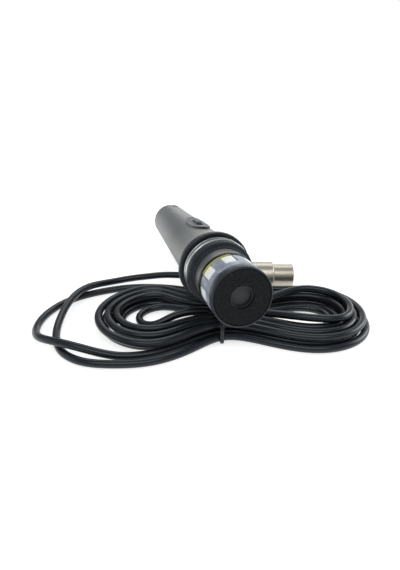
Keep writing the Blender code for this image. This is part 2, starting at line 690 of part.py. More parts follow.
def coil_stations():
    """Places round one turn, with the share of the turn and the step there."""
    stations = [(0.0, (0.0, -WAIST_FRONT), WAIST_STEP),
                (0.09, (27.0 * MM, -22.6 * MM), RIGHT_STEP + 0.6 * RIGHT_SPREAD)]
    for k, place in enumerate(end_arc(RIGHT_END, -90.0)):
        room = max(0.0, 1.0 - 0.5 * k)
        stations.append((0.17 + 0.05 * k, place, RIGHT_STEP + RIGHT_SPREAD * room))
    stations += [(0.44, (27.0 * MM, 23.2 * MM), RIGHT_STEP), (0.5, (0.0, WAIST_BACK), WAIST_STEP),
                 (0.57, (-20.0 * MM, 24.6 * MM), SHOULDER_STEP)]
    for k, place in enumerate(end_arc(LEFT_END, 90.0)):
        room = max(0.0, 0.5 * k - 1.0)
        stations.append((0.64 + 0.055 * k, place, LEFT_STEP + LEFT_SPREAD * room))
    stations.append((0.93, (-20.0 * MM, -28.0 * MM), SHOULDER_STEP + 0.5 * LEFT_SPREAD))
    return stations


STATIONS = coil_stations()
TURN = len(STATIONS)


# Loop and station where a loop leaves the plain spiral: steps inward and layers up. The fourth loop
# lies low inside the left half, the fifth lies on top of the right half.
LAY = {
    (3, 9): (3.5, 0.6), (3, 10): (4.05, 0.25), (3, 11): (4.27, 0.05), (3, 12): (4.66, 0.0),
    (3, 13): (4.13, 0.05), (3, 14): (3.6, 0.3), (3, 15): (3.5, 0.92), (4, 0): (3.1, 1.0),
    (4, 1): (2.75, 1.5), (4, 2): (2.05, 2.03), (4, 3): (1.38, 1.9), (4, 4): (1.23, 1.84), (4, 5): (1.2, 1.86),
    (4, 6): (1.65, 2.03), (4, 7): (2.42, 1.5),
}


def station_point(index):
    """Point of the coil at a running station number, in the coil's frame."""
    loop, k = divmod(index, TURN)
    share, place, step = STATIONS[k]
    before = STATIONS[(k - 1) % TURN][1]
    after = STATIONS[(k + 1) % TURN][1]
    heading = math.atan2(after[1] - before[1], after[0] - before[0])
    turns = loop + share
    inward = turns if turns <= LOOPS / 2 else LOOPS - turns
    climb = min(max((turns - LOOPS / 2 + 0.25) / 0.5, 0.0), 1.0)
    layer = climb * climb * (3 - 2 * climb)
    inward, layer = LAY.get((loop, k), (inward, layer))
    lift = 0.5 * WAIST_LIFT * (1 + math.cos(math.pi * min(1.0, abs(place[0]) / LIFT_REACH)))
    return (place[0] - math.sin(heading) * step * inward,
            place[1] + math.cos(heading) * step * inward,
            FLOOR_Z + LAYER_STEP * layer + lift)


def in_metres(points):
    """Hand-chosen route points, given in millimetres above a floor cord."""
    return [(x * MM, y * MM, FLOOR_Z + z * MM) for x, y, z in points]


# Route of the cable from the connector, round the outside, into the coil and out to the phone plug
BOOT_END = PLUG_TIP[0] - SHELL_LEN - GAP - BOOT_LEN
ROUTE_OUT = in_metres([
    (-36.0, 50.2, 6.6), (-48.0, 51.8, 4.9), (-62.0, 52.0, 3.0), (-76.0, 46.5, 2.7), (-87.0, 36.0, 4.7),
    (-93.5, 23.0, 5.5), (-97.2, 8.0, 3.6), (-98.0, -8.0, 0.8), (-95.0, -24.0, 0.0), (-87.5, -38.0, 0.0),
    (-75.0, -46.5, 0.0), (-60.0, -48.8, 0.0)])
ROUTE_BACK = in_metres([
    (28.0, 28.0, 0.0), (6.0, 30.0, 0.0), (-12.0, 35.2, 0.0), (-28.0, 41.0, 0.0), (-44.0, 43.8, 0.0), (-62.0, 43.0, 0.0),
    (-79.0, 37.4, 0.0), (-95.0, 27.7, 0.0), (-106.0, 13.0, 0.0), (-110.3, -3.0, 0.0), (-108.5, -18.0, 0.8),
    (-101.0, -29.5, 3.8), (-89.0, -36.5, 5.5), (-74.0, -40.8, 4.0), (-58.0, -42.4, 1.0)])
ROUTE_JACK = in_metres([
    (41.0, 30.0, 5.2), (28.0, 32.0, 4.8), (15.0, 35.6, 3.2), (5.0, 40.2, 1.2), (-3.0, 46.5, 0.0),
    (-7.4, 54.0, 0.0), (-6.6, 62.0, 0.3), (-3.6, 70.0, 1.7), (-1.4, 77.5, 3.7), (-0.7, 82.6, 4.6)])


def cable_route():
    """All route points in the coil's frame, and the two places it is split."""
    across = PLUG_TIP[1]
    grip = BOOT_END + CORD_GRIP
    start = [(grip, across, SHELL_R), ((grip + BOOT_END) / 2, across, SHELL_R), (BOOT_END, across, SHELL_R),
             (BOOT_END - 6.0 * MM, across, SHELL_R - 0.1 * MM)]
    into = [station_point(i) for i in range(-TURN - 2, -TURN + 7)]
    coil = [station_point(i) for i in range(-2, LOOPS * TURN + 7)]
    plug_end = COIL.inverted() @ Vector((JACK_X, JACK_Y, BARREL_R))
    plug_way = COIL.inverted().to_3x3() @ Vector((0.0, 1.0, 0.0))
    finish = []
    for back in (4.0 * MM, -2.0 * MM, -JACK_BOOT_LEN + 1.0 * MM):
        finish.append(tuple(plug_end - plug_way * back))
    points = start + ROUTE_OUT + into + ROUTE_BACK + coil + ROUTE_JACK + finish
    waist = len(start) + len(ROUTE_OUT) + len(into) + len(ROUTE_BACK) + 2
    return np.array(points), waist + 1, waist + LOOPS * TURN + 6 + COIL_TAIL_POINTS


class Route:
    """Smooth curve through points, measured along its length."""

    def __init__(self, points):
        chord = np.linalg.norm(np.diff(points, axis=0), axis=1)
        count = len(points)
        system = np.eye(count)
        right = np.zeros((count, 3))
        for i in range(1, count - 1):
            system[i, i - 1] = chord[i - 1]
            system[i, i] = 2 * (chord[i - 1] + chord[i])
            system[i, i + 1] = chord[i]
            right[i] = 6 * ((points[i + 1] - points[i]) / chord[i] - (points[i] - points[i - 1]) / chord[i - 1])
        self.points = points
        self.chord = chord
        self.bend = np.linalg.solve(system, right)
        self.knots = np.concatenate(([0.0], np.cumsum(chord)))
        self.fine = np.linspace(0.0, self.knots[-1], 8000)
        steps = np.linalg.norm(np.diff(self.raw(self.fine), axis=0), axis=1)
        self.lengths = np.concatenate(([0.0], np.cumsum(steps)))
        self.length = self.lengths[-1]

    def raw(self, knot):
        """Points at chord-length parameters."""
        i = np.clip(np.searchsorted(self.knots, knot, side="right") - 1, 0, len(self.chord) - 1)
        span = self.chord[i][:, None]
        x = (knot - self.knots[i])[:, None]
        y = span - x
        bend0 = self.bend[i]
        bend1 = self.bend[i + 1]
        return ((bend0 * y ** 3 + bend1 * x ** 3) / (6 * span)
                + (self.points[i] / span - bend0 * span / 6) * y
                + (self.points[i + 1] / span - bend1 * span / 6) * x)

    def at(self, length):
        """Points at lengths along the curve."""
        return self.raw(np.interp(length, self.lengths, self.fine))

    def corners(self, first, last, start, end):
        """Corners of the tube from one route point to another, straight at both ends."""
        found = []
        for i in range(first, last):
            low = self.length_of(i)
            high = self.length_of(i + 1)
            parts = PARTS_PER_STATION if high - low > 1.9 * CORD_D else 1
            found += [low + (high - low) * k / parts for k in range(parts)]
        clear = 1.8 * CORD_D
        inside = self.at([x for x in found if start + clear < x < end - clear])
        step = 0.1 * MM
        near = self.at([start, start + step, end - step, end])
        way_in = (near[1] - near[0]) / np.linalg.norm(near[1] - near[0])
        way_out = (near[3] - near[2]) / np.linalg.norm(near[3] - near[2])
        head = [near[0], near[0] + way_in * CORD_D]
        tail = [near[3] - way_out * CORD_D, near[3]]
        return np.concatenate((head, inside, tail))

    def length_of(self, index):
        """Length along the curve to a route point."""
        return float(np.interp(self.knots[index], self.fine, self.lengths))


def tube_curve(name, points, resolution):
    """A round tube along straight segments."""
    curve = bpy.data.curves.new(name, "CURVE")
    curve.dimensions = "3D"
    curve.bevel_depth = CORD_R
    curve.bevel_resolution = resolution
    curve.use_fill_caps = True
    spline = curve.splines.new("POLY")
    spline.points.add(len(points) - 1)
    for target, point in zip(spline.points, points):
        target.co = (*point, 1.0)
    return curve


def least_gap(points):
    """Least gap between a polyline's tube and itself, two diameters or more apart."""
    segment = np.linalg.norm(np.diff(points, axis=0), axis=1)
    along = np.concatenate(([0.0], np.cumsum(segment)))
    fine = np.linspace(0.0, along[-1], int(along[-1] / (1.0 * MM)))
    dense = np.stack([np.interp(fine, along, points[:, k]) for k in range(3)], axis=1)
    least = 1.0
    for i in range(0, len(dense), 2):
        far = np.abs(fine - fine[i]) > 5 * CORD_D
        if far.any():
            least = min(least, float(np.linalg.norm(dense[far] - dense[i], axis=1).min()))
    return least - CORD_D


def cable_lead(name, points):
    """A free stretch of cable as one curve node."""
    curve = tube_curve(name, [COIL @ Vector(p) for p in points], 2)
    curve.materials.append(material(name, *FINISH["black"]))
    obj = bpy.data.objects.new(name, curve)
    bpy.context.scene.collection.objects.link(obj)


def build_cable():
    """Coil and the two free stretches, split face to face."""
    points, first, last = cable_route()
    route = Route(points)
    coil_at = route.length_of(first)
    coil_end = route.length_of(last)
    half = GAP / 2
    cable_lead("cable_lead_long", route.corners(0, first, 0.0, coil_at - half))
    cable_lead("cable_lead_short", route.corners(last, len(points) - 1, coil_end + half, route.length))
    coil_points = route.corners(first, last, coil_at + half, coil_end - half)
    curve = tube_curve("cable_coil_curve", [COIL @ Vector(p) for p in coil_points], 1)
    holder = bpy.data.objects.new("cable_coil_curve", curve)
    bpy.context.scene.collection.objects.link(holder)
    graph = bpy.context.evaluated_depsgraph_get()
    mesh = bpy.data.meshes.new_from_object(holder.evaluated_get(graph))
    bpy.data.objects.remove(holder, do_unlink=True)
    bm = bmesh.new()
    bm.from_mesh(mesh)
    bmesh.ops.remove_doubles(bm, verts=bm.verts, dist=0.00001)
    coil_mesh = mesh_from("cable_coil", bm)
    coil_mesh.materials.clear()
    make_object("cable_coil", coil_mesh, "black", Matrix.Identity(4))
    print("cable length %.4f m, coil %.4f m" % (route.length, coil_end - coil_at))
    print("least gap of the coil to itself %.2f mm" % (least_gap(coil_points) / MM))
    whole = route.corners(0, len(points) - 1, 0.0, route.length)
    print("least gap of the whole cable to itself %.2f mm" % (least_gap(whole) / MM))


def build_tie():
    """Flat strap round the waist of the coil, with its head at the back."""
    front = -(WAIST_FRONT + WAIST_STEP + CORD_R + TIE_SLACK)
    back = WAIST_BACK - WAIST_STEP / 2 + CORD_R + TIE_SLACK
    low = TIE_THICK
    high = TIE_INNER_TOP
    bm = bmesh.new()
    count = 5
    loops = []
    for x in (-TIE_WIDTH / 2, TIE_WIDTH / 2):
        for grow in (0.0, TIE_THICK):
            loop = []
            corners = ((back, high, 0.0), (front, high, 90.0), (front, low, 180.0), (back, low, 270.0))
            for y, z, start in corners:
                turn = TIE_CORNER
                cy = y - math.copysign(turn, y)
                cz = z - math.copysign(turn, z - (low + high) / 2)
                for k in range(count):
                    angle = math.radians(start + 90.0 * k / (count - 1))
                    reach = turn + grow
                    loop.append(bm.verts.new((x, cy + reach * math.cos(angle), cz + reach * math.sin(angle))))
            loops.append(loop)
    inner0, outer0, inner1, outer1 = loops
    total = len(inner0)
    for i in range(total):
        j = (i + 1) % total
        for one, two in ((inner0, outer0), (outer0, outer1), (outer1, inner1), (inner1, inner0)):
            bm.faces.new((one[i], one[j], two[j], two[i]))
    make_object("cable_tie", mesh_from("cable_tie", bm), "black", COIL)
    head = bmesh.new()
    wide, deep, tall = TIE_HEAD
    y = back + TIE_THICK + GAP
    middle = (low + high) / 2
    add_box(head, (-wide / 2, y, middle - tall / 2), (wide / 2, y + deep, middle + tall / 2))
    make_object("tie_head", mesh_from("tie_head", head), "black", COIL)


def build_plug():
    """Three-hole cable connector with its latch and boot."""
    step_end = NOSE_LEN + SHELL_STEP
    bore = NOSE_R - SHELL_WALL
    rear_bore = SHELL_R - 1.5 * MM
    edge = 0.4 * MM
    bore_end = PLUG_INSERT_LEN + 1.0 * MM
    shell = lathe("plug_shell", [
        (0.0, bore), (0.0, NOSE_R - edge), (edge, NOSE_R), (NOSE_LEN, NOSE_R), (step_end, SHELL_R),
        (SHELL_LEN - edge, SHELL_R), (SHELL_LEN, SHELL_R - edge), (SHELL_LEN, rear_bore),
        (bore_end, rear_bore), (bore_end, bore)], "nickel", PLUG)
    turn = roll_about_axis(LATCH_ROLL)
    latch_end = LATCH_FRONT + LATCH_LEN
    slot = bmesh.new()
    half_slot = LATCH_WIDTH / 2 + GAP
    add_box(slot, (-half_slot, LATCH_FRONT - GAP, bore - 2 * LATCH_THICK),
            (half_slot, BUTTON_SPAN[1] + GAP, SHELL_R + 1.0 * MM), turn)
    cut(shell, "plug_shell_cutter", slot, PLUG)
    insert_r = bore - GAP
    insert_at = 0.8 * MM
    insert = lathe("plug_insert", [
        (insert_at, 0.0), (insert_at, insert_r), (PLUG_INSERT_LEN, insert_r), (PLUG_INSERT_LEN, 0.0)],
        "black", PLUG, SMALL_SIDES)
    depth = PLUG_INSERT_LEN + 1.0 * MM
    wall = CONTACT_R + GAP
    low = insert_at + 0.6 * MM
    high = PLUG_INSERT_LEN + 4.0 * MM
    deep = low + PIN_LEN + 2.0 * MM
    for k in range(PINS):
        place = PLUG @ beside_axis(PIN_CIRCLE_R, LATCH_ROLL, k, 100.0)
        hole = bmesh.new()
        revolve(hole, [(0.0, 0.0), (0.0, wall), (depth, wall), (depth, 0.0)], PIN_SIDES)
        cut(insert, "contact_cutter_%d" % (k + 1), hole, place)
        lathe("plug_contact_%d" % (k + 1), [
            (low, CONTACT_BORE_R), (low, CONTACT_R), (high, CONTACT_R), (high, 0.0), (deep, 0.0),
            (deep, CONTACT_BORE_R)], "gold", place, PIN_SIDES)
    swing = (latch_end - LATCH_FRONT) * math.tan(LATCH_TURN) + 0.5 * MM
    channel = bmesh.new()
    add_box(channel, (-half_slot, -1.0 * MM, bore - LATCH_THICK - swing), (half_slot, depth, bore), turn)
    cut(insert, "latch_channel_cutter", channel, PLUG)
    build_latch(turn, bore, latch_end)
    collet_at = SHELL_LEN - COLLET_LEN - 1.0 * MM
    collet_r = rear_bore - GAP
    lathe("plug_collet", [
        (collet_at, CORD_R + BORE_GAP), (collet_at, collet_r), (collet_at + COLLET_LEN, collet_r),
        (collet_at + COLLET_LEN, CORD_R + BORE_GAP)], "black", PLUG, SMALL_SIDES)
    boot_at = SHELL_LEN + GAP
    neck = boot_at + BOOT_COLLAR
    boot_bore = CORD_R + BORE_GAP
    lathe("plug_boot", [
        (boot_at, boot_bore), (boot_at, BOOT_ROOT_R), (neck, BOOT_ROOT_R), (neck + 1.5 * MM, BOOT_NECK_R),
        (boot_at + BOOT_LEN, BOOT_TIP_R), (boot_at + BOOT_LEN, boot_bore)], "rubber", PLUG, 32)


def build_latch(turn, bore, latch_end):
    """Sprung latch: a bar with a barb at the nose and a button behind it."""
    top = bore - GAP
    low = top - LATCH_THICK
    barb_at, barb_peak = BARB_SPAN
    button_at, button_end = BUTTON_SPAN
    peak = NOSE_R + BARB_RISE
    button_top = SHELL_R - 0.2 * MM
    outline = [
        (LATCH_FRONT, low), (LATCH_FRONT, top), (barb_at - 1.0 * MM, top), (barb_at, NOSE_R - 0.3 * MM),
        (barb_peak - 0.8 * MM, peak), (barb_peak, peak), (barb_peak + 0.3 * MM, top),
        (button_at, top), (button_at, button_top), (button_end - 0.8 * MM, button_top), (button_end, button_top - 0.8 * MM),
        (button_end, top), (latch_end, top), (latch_end, low)]
    bm = bmesh.new()
    half = LATCH_WIDTH / 2
    pivot = Vector((0.0, latch_end - LATCH_THICK / 2, (top + low) / 2))
    rings = []
    for x in (-half, half):
        rings.append([bm.verts.new(Vector((x, y, z)) - pivot) for y, z in outline])
    count = len(outline)
    for i in range(count):
        j = (i + 1) % count
        bm.faces.new((rings[0][i], rings[0][j], rings[1][j], rings[1][i]))
    for ring in rings:
        bm.faces.new(ring)
    bmesh.ops.triangulate(bm, faces=[f for f in bm.faces if len(f.verts) > 4])
    frame = PLUG @ turn @ Matrix.Translation(pivot)
    make_object("plug_latch", mesh_from("plug_latch", bm), "steel", frame)
    centre = frame.translation
    axis = frame.to_3x3() @ Vector((1.0, 0.0, 0.0))
    print("latch pivot %.5f %.5f %.5f axis %.5f %.5f %.5f" % (*centre, *axis))


def build_jack():
    """Phone plug: boot, barrel, shank, insulator and tip."""
    bore = CORD_R + BORE_GAP
    lathe("jack_boot", [
        (0.0, bore), (0.0, JACK_BOOT_TIP_R), (JACK_BOOT_LEN, JACK_BOOT_R), (JACK_BOOT_LEN, bore)],
        "rubber", JACK, SMALL_SIDES)
    barrel_at = JACK_BOOT_LEN + GAP
    barrel_end = barrel_at + BARREL_LEN
    edge = 0.6 * MM
    back_wall = barrel_at + 2.0 * MM
    shank_hole = SHANK_R + GAP
    lathe("jack_barrel", [
        (barrel_at, bore), (barrel_at, BARREL_R - edge), (barrel_at + edge, BARREL_R),
        (barrel_end - edge, BARREL_R), (barrel_end, BARREL_R - edge), (barrel_end, shank_hole),
        (barrel_end - BARREL_FACE, shank_hole), (barrel_end - BARREL_FACE, BARREL_BORE_R),
        (back_wall, BARREL_BORE_R), (back_wall, bore)], "nickel", JACK, 32)
    flange_at = barrel_end - BARREL_FACE - GAP - SHANK_FLANGE
    flange_end = flange_at + SHANK_FLANGE
    shank_end = barrel_end + SHANK_LEN
    rod = TIP_NECK_R + GAP
    lathe("jack_shank", [
        (flange_at, rod), (flange_at, SHANK_FLANGE_R), (flange_end, SHANK_FLANGE_R),
        (flange_end, SHANK_R), (shank_end, SHANK_R), (shank_end, rod)], "nickel", JACK, SMALL_SIDES)
    ring_at = shank_end + GAP
    ring_end = ring_at + RING_INSULATOR
    lathe("jack_insulator", [
        (ring_at, rod), (ring_at, SHANK_R), (ring_end, SHANK_R), (ring_end, rod)], "black", JACK, SMALL_SIDES)
    tip_at = ring_end + GAP
    tip_end = tip_at + TIP_LEN
    lathe("jack_tip", [
        (flange_at, 0.0), (flange_at, TIP_NECK_R), (tip_at, TIP_NECK_R), (tip_at, SHANK_R),
        (tip_at + 0.2 * TIP_LEN, SHANK_R), (tip_at + 0.4 * TIP_LEN, TIP_NECK_R),
        (tip_at + 0.62 * TIP_LEN, SHANK_R), (tip_end - 0.8 * MM, 0.35 * SHANK_R), (tip_end, 0.0)],
        "nickel", JACK, SMALL_SIDES)


def print_joints():
    """Axes and places that the record repeats."""
    along = MIC.to_3x3() @ Vector((0.0, 1.0, 0.0))
    print("microphone axis %.5f %.5f %.5f, felt centre %.5f %.5f %.5f" % (*along, *MIC.translation))
    way = switch_frame().to_3x3() @ Vector((0.0, -1.0, 0.0))
    print("switch slides %.5f %.5f %.5f" % tuple(way))
    tail = MIC @ roll_about_axis(SWITCH_ROLL + math.pi / 2) @ Vector((0.0, TAIL_AT, TAIL_R - HANDLE_WALL / 2 - TAIL_ROUND / 2))
    print("tail face %.5f %.5f %.5f" % tuple(tail))
    ring = MIC @ Vector((0.0, RING_AT, (THREAD_R + RING_R) / 2 - 0.1 * MM))
    print("ring face %.5f %.5f %.5f" % tuple(ring))
    socket = MIC @ Vector((0.0, TAIL_AT - INSERT_LEN + INSERT_FLOOR + GAP + PIN_LEN, 0.0))
    print("pin tips %.5f %.5f %.5f" % tuple(socket))


build_cartridge()
build_head()
build_handle()
build_switch()
build_tail()
build_cable()
build_tie()
build_plug()
build_jack()
print_joints()
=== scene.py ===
"""Looks of a wired handheld microphone lying on its tied cable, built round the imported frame."""
import math

import bmesh
import bpy
import numpy as np
from mathutils import Matrix, Vector, noise


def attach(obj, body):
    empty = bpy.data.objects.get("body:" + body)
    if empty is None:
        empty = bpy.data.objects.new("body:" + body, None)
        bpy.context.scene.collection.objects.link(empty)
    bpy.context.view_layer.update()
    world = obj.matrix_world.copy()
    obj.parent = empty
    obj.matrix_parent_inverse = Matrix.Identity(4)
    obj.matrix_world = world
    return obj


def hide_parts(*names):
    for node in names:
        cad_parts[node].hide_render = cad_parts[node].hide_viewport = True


MM = 0.001

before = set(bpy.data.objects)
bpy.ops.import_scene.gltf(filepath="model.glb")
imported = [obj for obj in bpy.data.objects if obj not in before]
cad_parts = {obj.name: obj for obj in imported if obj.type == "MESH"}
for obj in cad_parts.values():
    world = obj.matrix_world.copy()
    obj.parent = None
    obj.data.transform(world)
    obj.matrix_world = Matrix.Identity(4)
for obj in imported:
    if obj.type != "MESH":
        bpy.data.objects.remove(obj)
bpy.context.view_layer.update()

# Frames of the object, the same as in the solids
DIP = math.radians(4.6)
COIL_YAW = math.radians(-15.28)
HANDLE_R = 17.85
TAIL_R = 13.5
HANDLE_WALL = 2.2
HANDLE_AT = 53.7
TAIL_AT = 177.7
CONE = math.atan2(HANDLE_R - TAIL_R, TAIL_AT - HANDLE_AT)
SWITCH_AT = 94.5
SWITCH_ROLL = math.radians(7.0)
NOTCH_ROLL = math.radians(14.0)
LATCH_ROLL = math.radians(168.0)
MIC = Matrix.Translation((-0.0024, -0.0438, 0.038368)) @ Matrix.Rotation(-DIP, 4, "X")
COIL = Matrix.Rotation(COIL_YAW, 4, "Z")
PLUG_TIP = (52.4, 48.6, 9.5)
PLUG = COIL @ Matrix.Translation(Vector(PLUG_TIP) * MM) @ Matrix.Rotation(math.pi / 2, 4, "Z")
JACK = Matrix.Translation((0.0218, 0.088, 0.007))


def handle_radius(along):
    """Outer radius of the handle, in millimetres."""
    return HANDLE_R - (along - HANDLE_AT) * math.tan(CONE)


SWITCH = (MIC @ Matrix.Rotation(SWITCH_ROLL, 4, "Y")
          @ Matrix.Translation((0.0, SWITCH_AT * MM, handle_radius(SWITCH_AT) * MM))
          @ Matrix.Rotation(-CONE, 4, "X"))


# Camera at the photograph's viewing angle
def make_camera():
    """A 29.7 mm lens looking down 25.7 degrees."""
    data = bpy.data.cameras.new("camera")
    data.sensor_width = 36.0
    data.lens = 36.0 * 470.0 / 570.0
    data.clip_start = 0.01
    camera = bpy.data.objects.new("camera", data)
    camera.location = (-0.07894, -0.2415, 0.1472)
    camera.rotation_euler = (math.radians(90.0 - 25.7), 0.0, COIL_YAW)
    bpy.context.scene.collection.objects.link(camera)
    bpy.context.scene.camera = camera


# Materials
COOL = (0.84, 0.93, 1.0, 1.0)     # tint of the sheen on black plastic
YELLOW_ROLL = math.radians(-32.0)     # middle of the gasket's yellow arc
STAIN_ROLL = math.radians(-38.0)      # middle of the stain on the cloth
FLARE_ROLL = math.radians(-60.0)      # middle of the painted flare of reflected light on the thread


class Finish:
    """A Principled material and the nodes that feed it."""

    def __init__(self, name, colour, roughness, metallic=0.0):
        self.material = bpy.data.materials.new(name)
        self.material.use_nodes = True
        self.tree = self.material.node_tree
        self.shader = self.tree.nodes["Principled BSDF"]
        self.set("Base Color", (*colour, 1.0))
        self.set("Roughness", roughness)
        self.set("Metallic", metallic)
        self.coords = self.tree.nodes.new("ShaderNodeTexCoord").outputs["Object"]

    def set(self, socket, value):
        """A constant on the shader's own socket."""
        self.shader.inputs[socket].default_value = value
        return self

    def node(self, kind, **values):
        """A new node with its sockets set by name."""
        made = self.tree.nodes.new(kind)
        for key, value in values.items():
            name = key.replace("_", " ")
            if name in made.inputs:
                made.inputs[name].default_value = value
            else:
                setattr(made, key, value)
        return made

    def link(self, source, target):
        """Join an output to an input."""
        self.tree.links.new(source, target)

    def placed(self, place, stretch=(1.0, 1.0, 1.0)):
        """Coordinates in millimetres in another frame, stretched."""
        back = place.inverted()
        mapping = self.node("ShaderNodeMapping")
        mapping.inputs["Location"].default_value = [1000.0 * x for x in back.translation]
        mapping.inputs["Rotation"].default_value = back.to_euler()
        mapping.inputs["Scale"].default_value = (1000.0, 1000.0, 1000.0)
        self.link(self.coords, mapping.inputs["Vector"])
        shaped = self.node("ShaderNodeMapping")
        shaped.inputs["Scale"].default_value = stretch
        self.link(mapping.outputs["Vector"], shaped.inputs["Vector"])
        return shaped.outputs["Vector"]

    def noise(self, scale, detail=3.0, vector=None):
        """Noise with cells about 1/scale metres wide, or in the vector's own units."""
        made = self.node("ShaderNodeTexNoise", Scale=scale, Detail=detail)
        self.link(vector or self.coords, made.inputs["Vector"])
        return made.outputs["Fac"]

    def ramp(self, factor, stops):
        """A colour ramp over (place, colour) stops."""
        made = self.node("ShaderNodeValToRGB")
        elements = made.color_ramp.elements
        while len(elements) < len(stops):
            elements.new(0.5)
        for element, (place, colour) in zip(elements, stops):
            element.position = place
            element.color = (*colour, 1.0)
        self.link(factor, made.inputs["Fac"])
        return made.outputs["Color"]

    def colour(self, factor, stops):
        """Base colour from a ramp."""
        out = self.ramp(factor, stops)
        self.link(out, self.shader.inputs["Base Color"])
        return out

    def rough(self, factor, low, high):
        """Roughness from a factor."""
        spread = self.node("ShaderNodeMapRange")
        spread.inputs["To Min"].default_value = low
        spread.inputs["To Max"].default_value = high
        self.link(factor, spread.inputs["Value"])
        self.link(spread.outputs["Result"], self.shader.inputs["Roughness"])
        return self

    def bump(self, factor, height, strength=0.3):
        """Bump of a height in metres."""
        made = self.node("ShaderNodeBump", Strength=strength, Distance=height)
        self.link(factor, made.inputs["Height"])
        self.link(made.outputs["Normal"], self.shader.inputs["Normal"])
        return self


def shades(colour, spread):
    """Two stops a little darker and lighter than a colour."""
    dark = tuple(x * (1.0 - spread) for x in colour)
    light = tuple(x * (1.0 + spread) for x in colour)
    return [(0.3, dark), (0.7, light)]


def handle_paint():
    """Satin grey metallic paint with a fine grain, lighter towards the front end as painted light where the head ring
    shades it.
    """
    made = Finish("handle_paint", (0.22, 0.226, 0.22), 0.42, 0.35)
    along = made.placed(MIC)
    parts = made.node("ShaderNodeSeparateXYZ")
    made.link(along, parts.inputs["Vector"])
    grain = made.node("ShaderNodeMath", operation="MULTIPLY_ADD")
    grain.inputs[1].default_value = 12.0
    made.link(made.noise(900.0, 4.0), grain.inputs[0])
    made.link(parts.outputs["Y"], grain.inputs[2])
    reach = made.node("ShaderNodeMapRange")
    reach.inputs["From Min"].default_value = 54.0
    reach.inputs["From Max"].default_value = 124.0
    made.link(grain.outputs["Value"], reach.inputs["Value"])
    # Painted light: the lightest stops at the front end stand for light on the paint beside the head ring's shade.
    made.colour(reach.outputs["Result"], [(0.0, (0.45, 0.455, 0.432)), (0.3, (0.265, 0.271, 0.262)),
                                          (0.7, (0.18, 0.185, 0.18))])
    made.rough(made.noise(220.0), 0.36, 0.5)
    made.bump(made.noise(5200.0, 2.0), 0.00004, 0.25)
    return made.material


def moulded_black(name, colour, low, high, grain, shine=0.25):
    """Black moulded plastic or rubber with a soft grain."""
    made = Finish(name, colour, (low + high) / 2)
    made.set("Specular IOR Level", shine)
    made.set("Specular Tint", COOL)
    made.colour(made.noise(160.0), shades(colour, 0.25))
    made.rough(made.noise(300.0), low, high)
    made.bump(made.noise(grain, 3.0), 0.00005, 0.25)
    return made.material


def cable_jacket():
    """Black jacket, a little glossy, with faint scuffs along it."""
    base = (0.005, 0.0065, 0.0085)
    made = Finish("cable_jacket", base, 0.4)
    made.set("Specular IOR Level", 0.45)
    made.set("Specular Tint", COOL)
    made.colour(made.noise(120.0, 4.0), shades(base, 0.3))
    made.rough(made.noise(90.0, 2.0), 0.25, 0.33)
    made.bump(made.noise(700.0, 1.0), 0.00003, 0.05)
    return made.material


def foam():
    """Black open-cell foam with pale specks."""
    made = Finish("front_foam", (0.008, 0.009, 0.01), 0.95)
    cells = made.node("ShaderNodeTexVoronoi", Scale=2300.0)
    made.link(made.coords, cells.inputs["Vector"])
    specks = made.noise(1500.0, 5.0)
    made.colour(specks, [(0.0, (0.006, 0.0068, 0.0075)), (0.55, (0.0125, 0.014, 0.0155)),
                         (0.68, (0.026, 0.028, 0.03)), (0.8, (0.07, 0.071, 0.075))])
    made.bump(cells.outputs["Distance"], 0.0004, 0.7)
    made.set("Specular IOR Level", 0.1)
    return made.material


def turned_metal(name, base, low, high, place, streak, contrast=0.03):
    """Metal with fine turning marks round an axis."""
    made = Finish(name, base, (low + high) / 2, 1.0)
    marks = made.noise(1.0, 4.0, made.placed(place, (0.08, streak, 0.08)))
    made.colour(marks, shades(base, contrast))
    made.rough(marks, low, high)
    made.bump(marks, 0.00002, contrast)
    return made.material


def thread_metal():
    """Ridges on dark plated metal, with painted highlights along the ridges and a painted flare of reflected light on
    one side.
    """
    made = Finish("thread_metal", (0.2, 0.21, 0.22), 0.3, 1.0)
    along = made.placed(MIC @ Matrix.Rotation(FLARE_ROLL, 4, "Y"))
    parts = made.node("ShaderNodeSeparateXYZ")
    made.link(along, parts.inputs["Vector"])
    shares = []
    for axis, low, high in (("Y", 40.0, 50.0), ("Z", 12.0, 20.0)):
        reach = made.node("ShaderNodeMapRange")
        reach.inputs["From Min"].default_value = low
        reach.inputs["From Max"].default_value = high
        made.link(parts.outputs[axis], reach.inputs["Value"])
        shares.append(reach.outputs["Result"])
    dark, bright = (0.2, 0.22, 0.222), (0.9, 0.92, 0.92)
    # Painted highlights along the ridges, dimmed away from a painted flare of reflected light centred on FLARE_ROLL.
    ridge_highlights = made.ramp(shares[0], [
        (0.05, dark), (0.09, bright), (0.28, bright), (0.32, dark), (0.48, dark), (0.51, bright), (0.57, bright),
        (0.61, dark)])
    painted_flare = made.ramp(shares[1], [(0.0, (0.36, 0.36, 0.36)), (0.5, (0.45, 0.45, 0.45)), (0.9, (0.95, 0.95, 0.93))])
    both = made.node("ShaderNodeMix", data_type="RGBA", blend_type="MULTIPLY")
    both.inputs["Factor"].default_value = 1.0
    made.link(ridge_highlights, both.inputs[6])
    made.link(painted_flare, both.inputs[7])
    made.link(both.outputs[2], made.shader.inputs["Base Color"])
    made.rough(made.noise(0.6, 3.0, along), 0.24, 0.4)
    made.bump(made.noise(1.2, 3.0, along), 0.00003, 0.1)
    return made.material


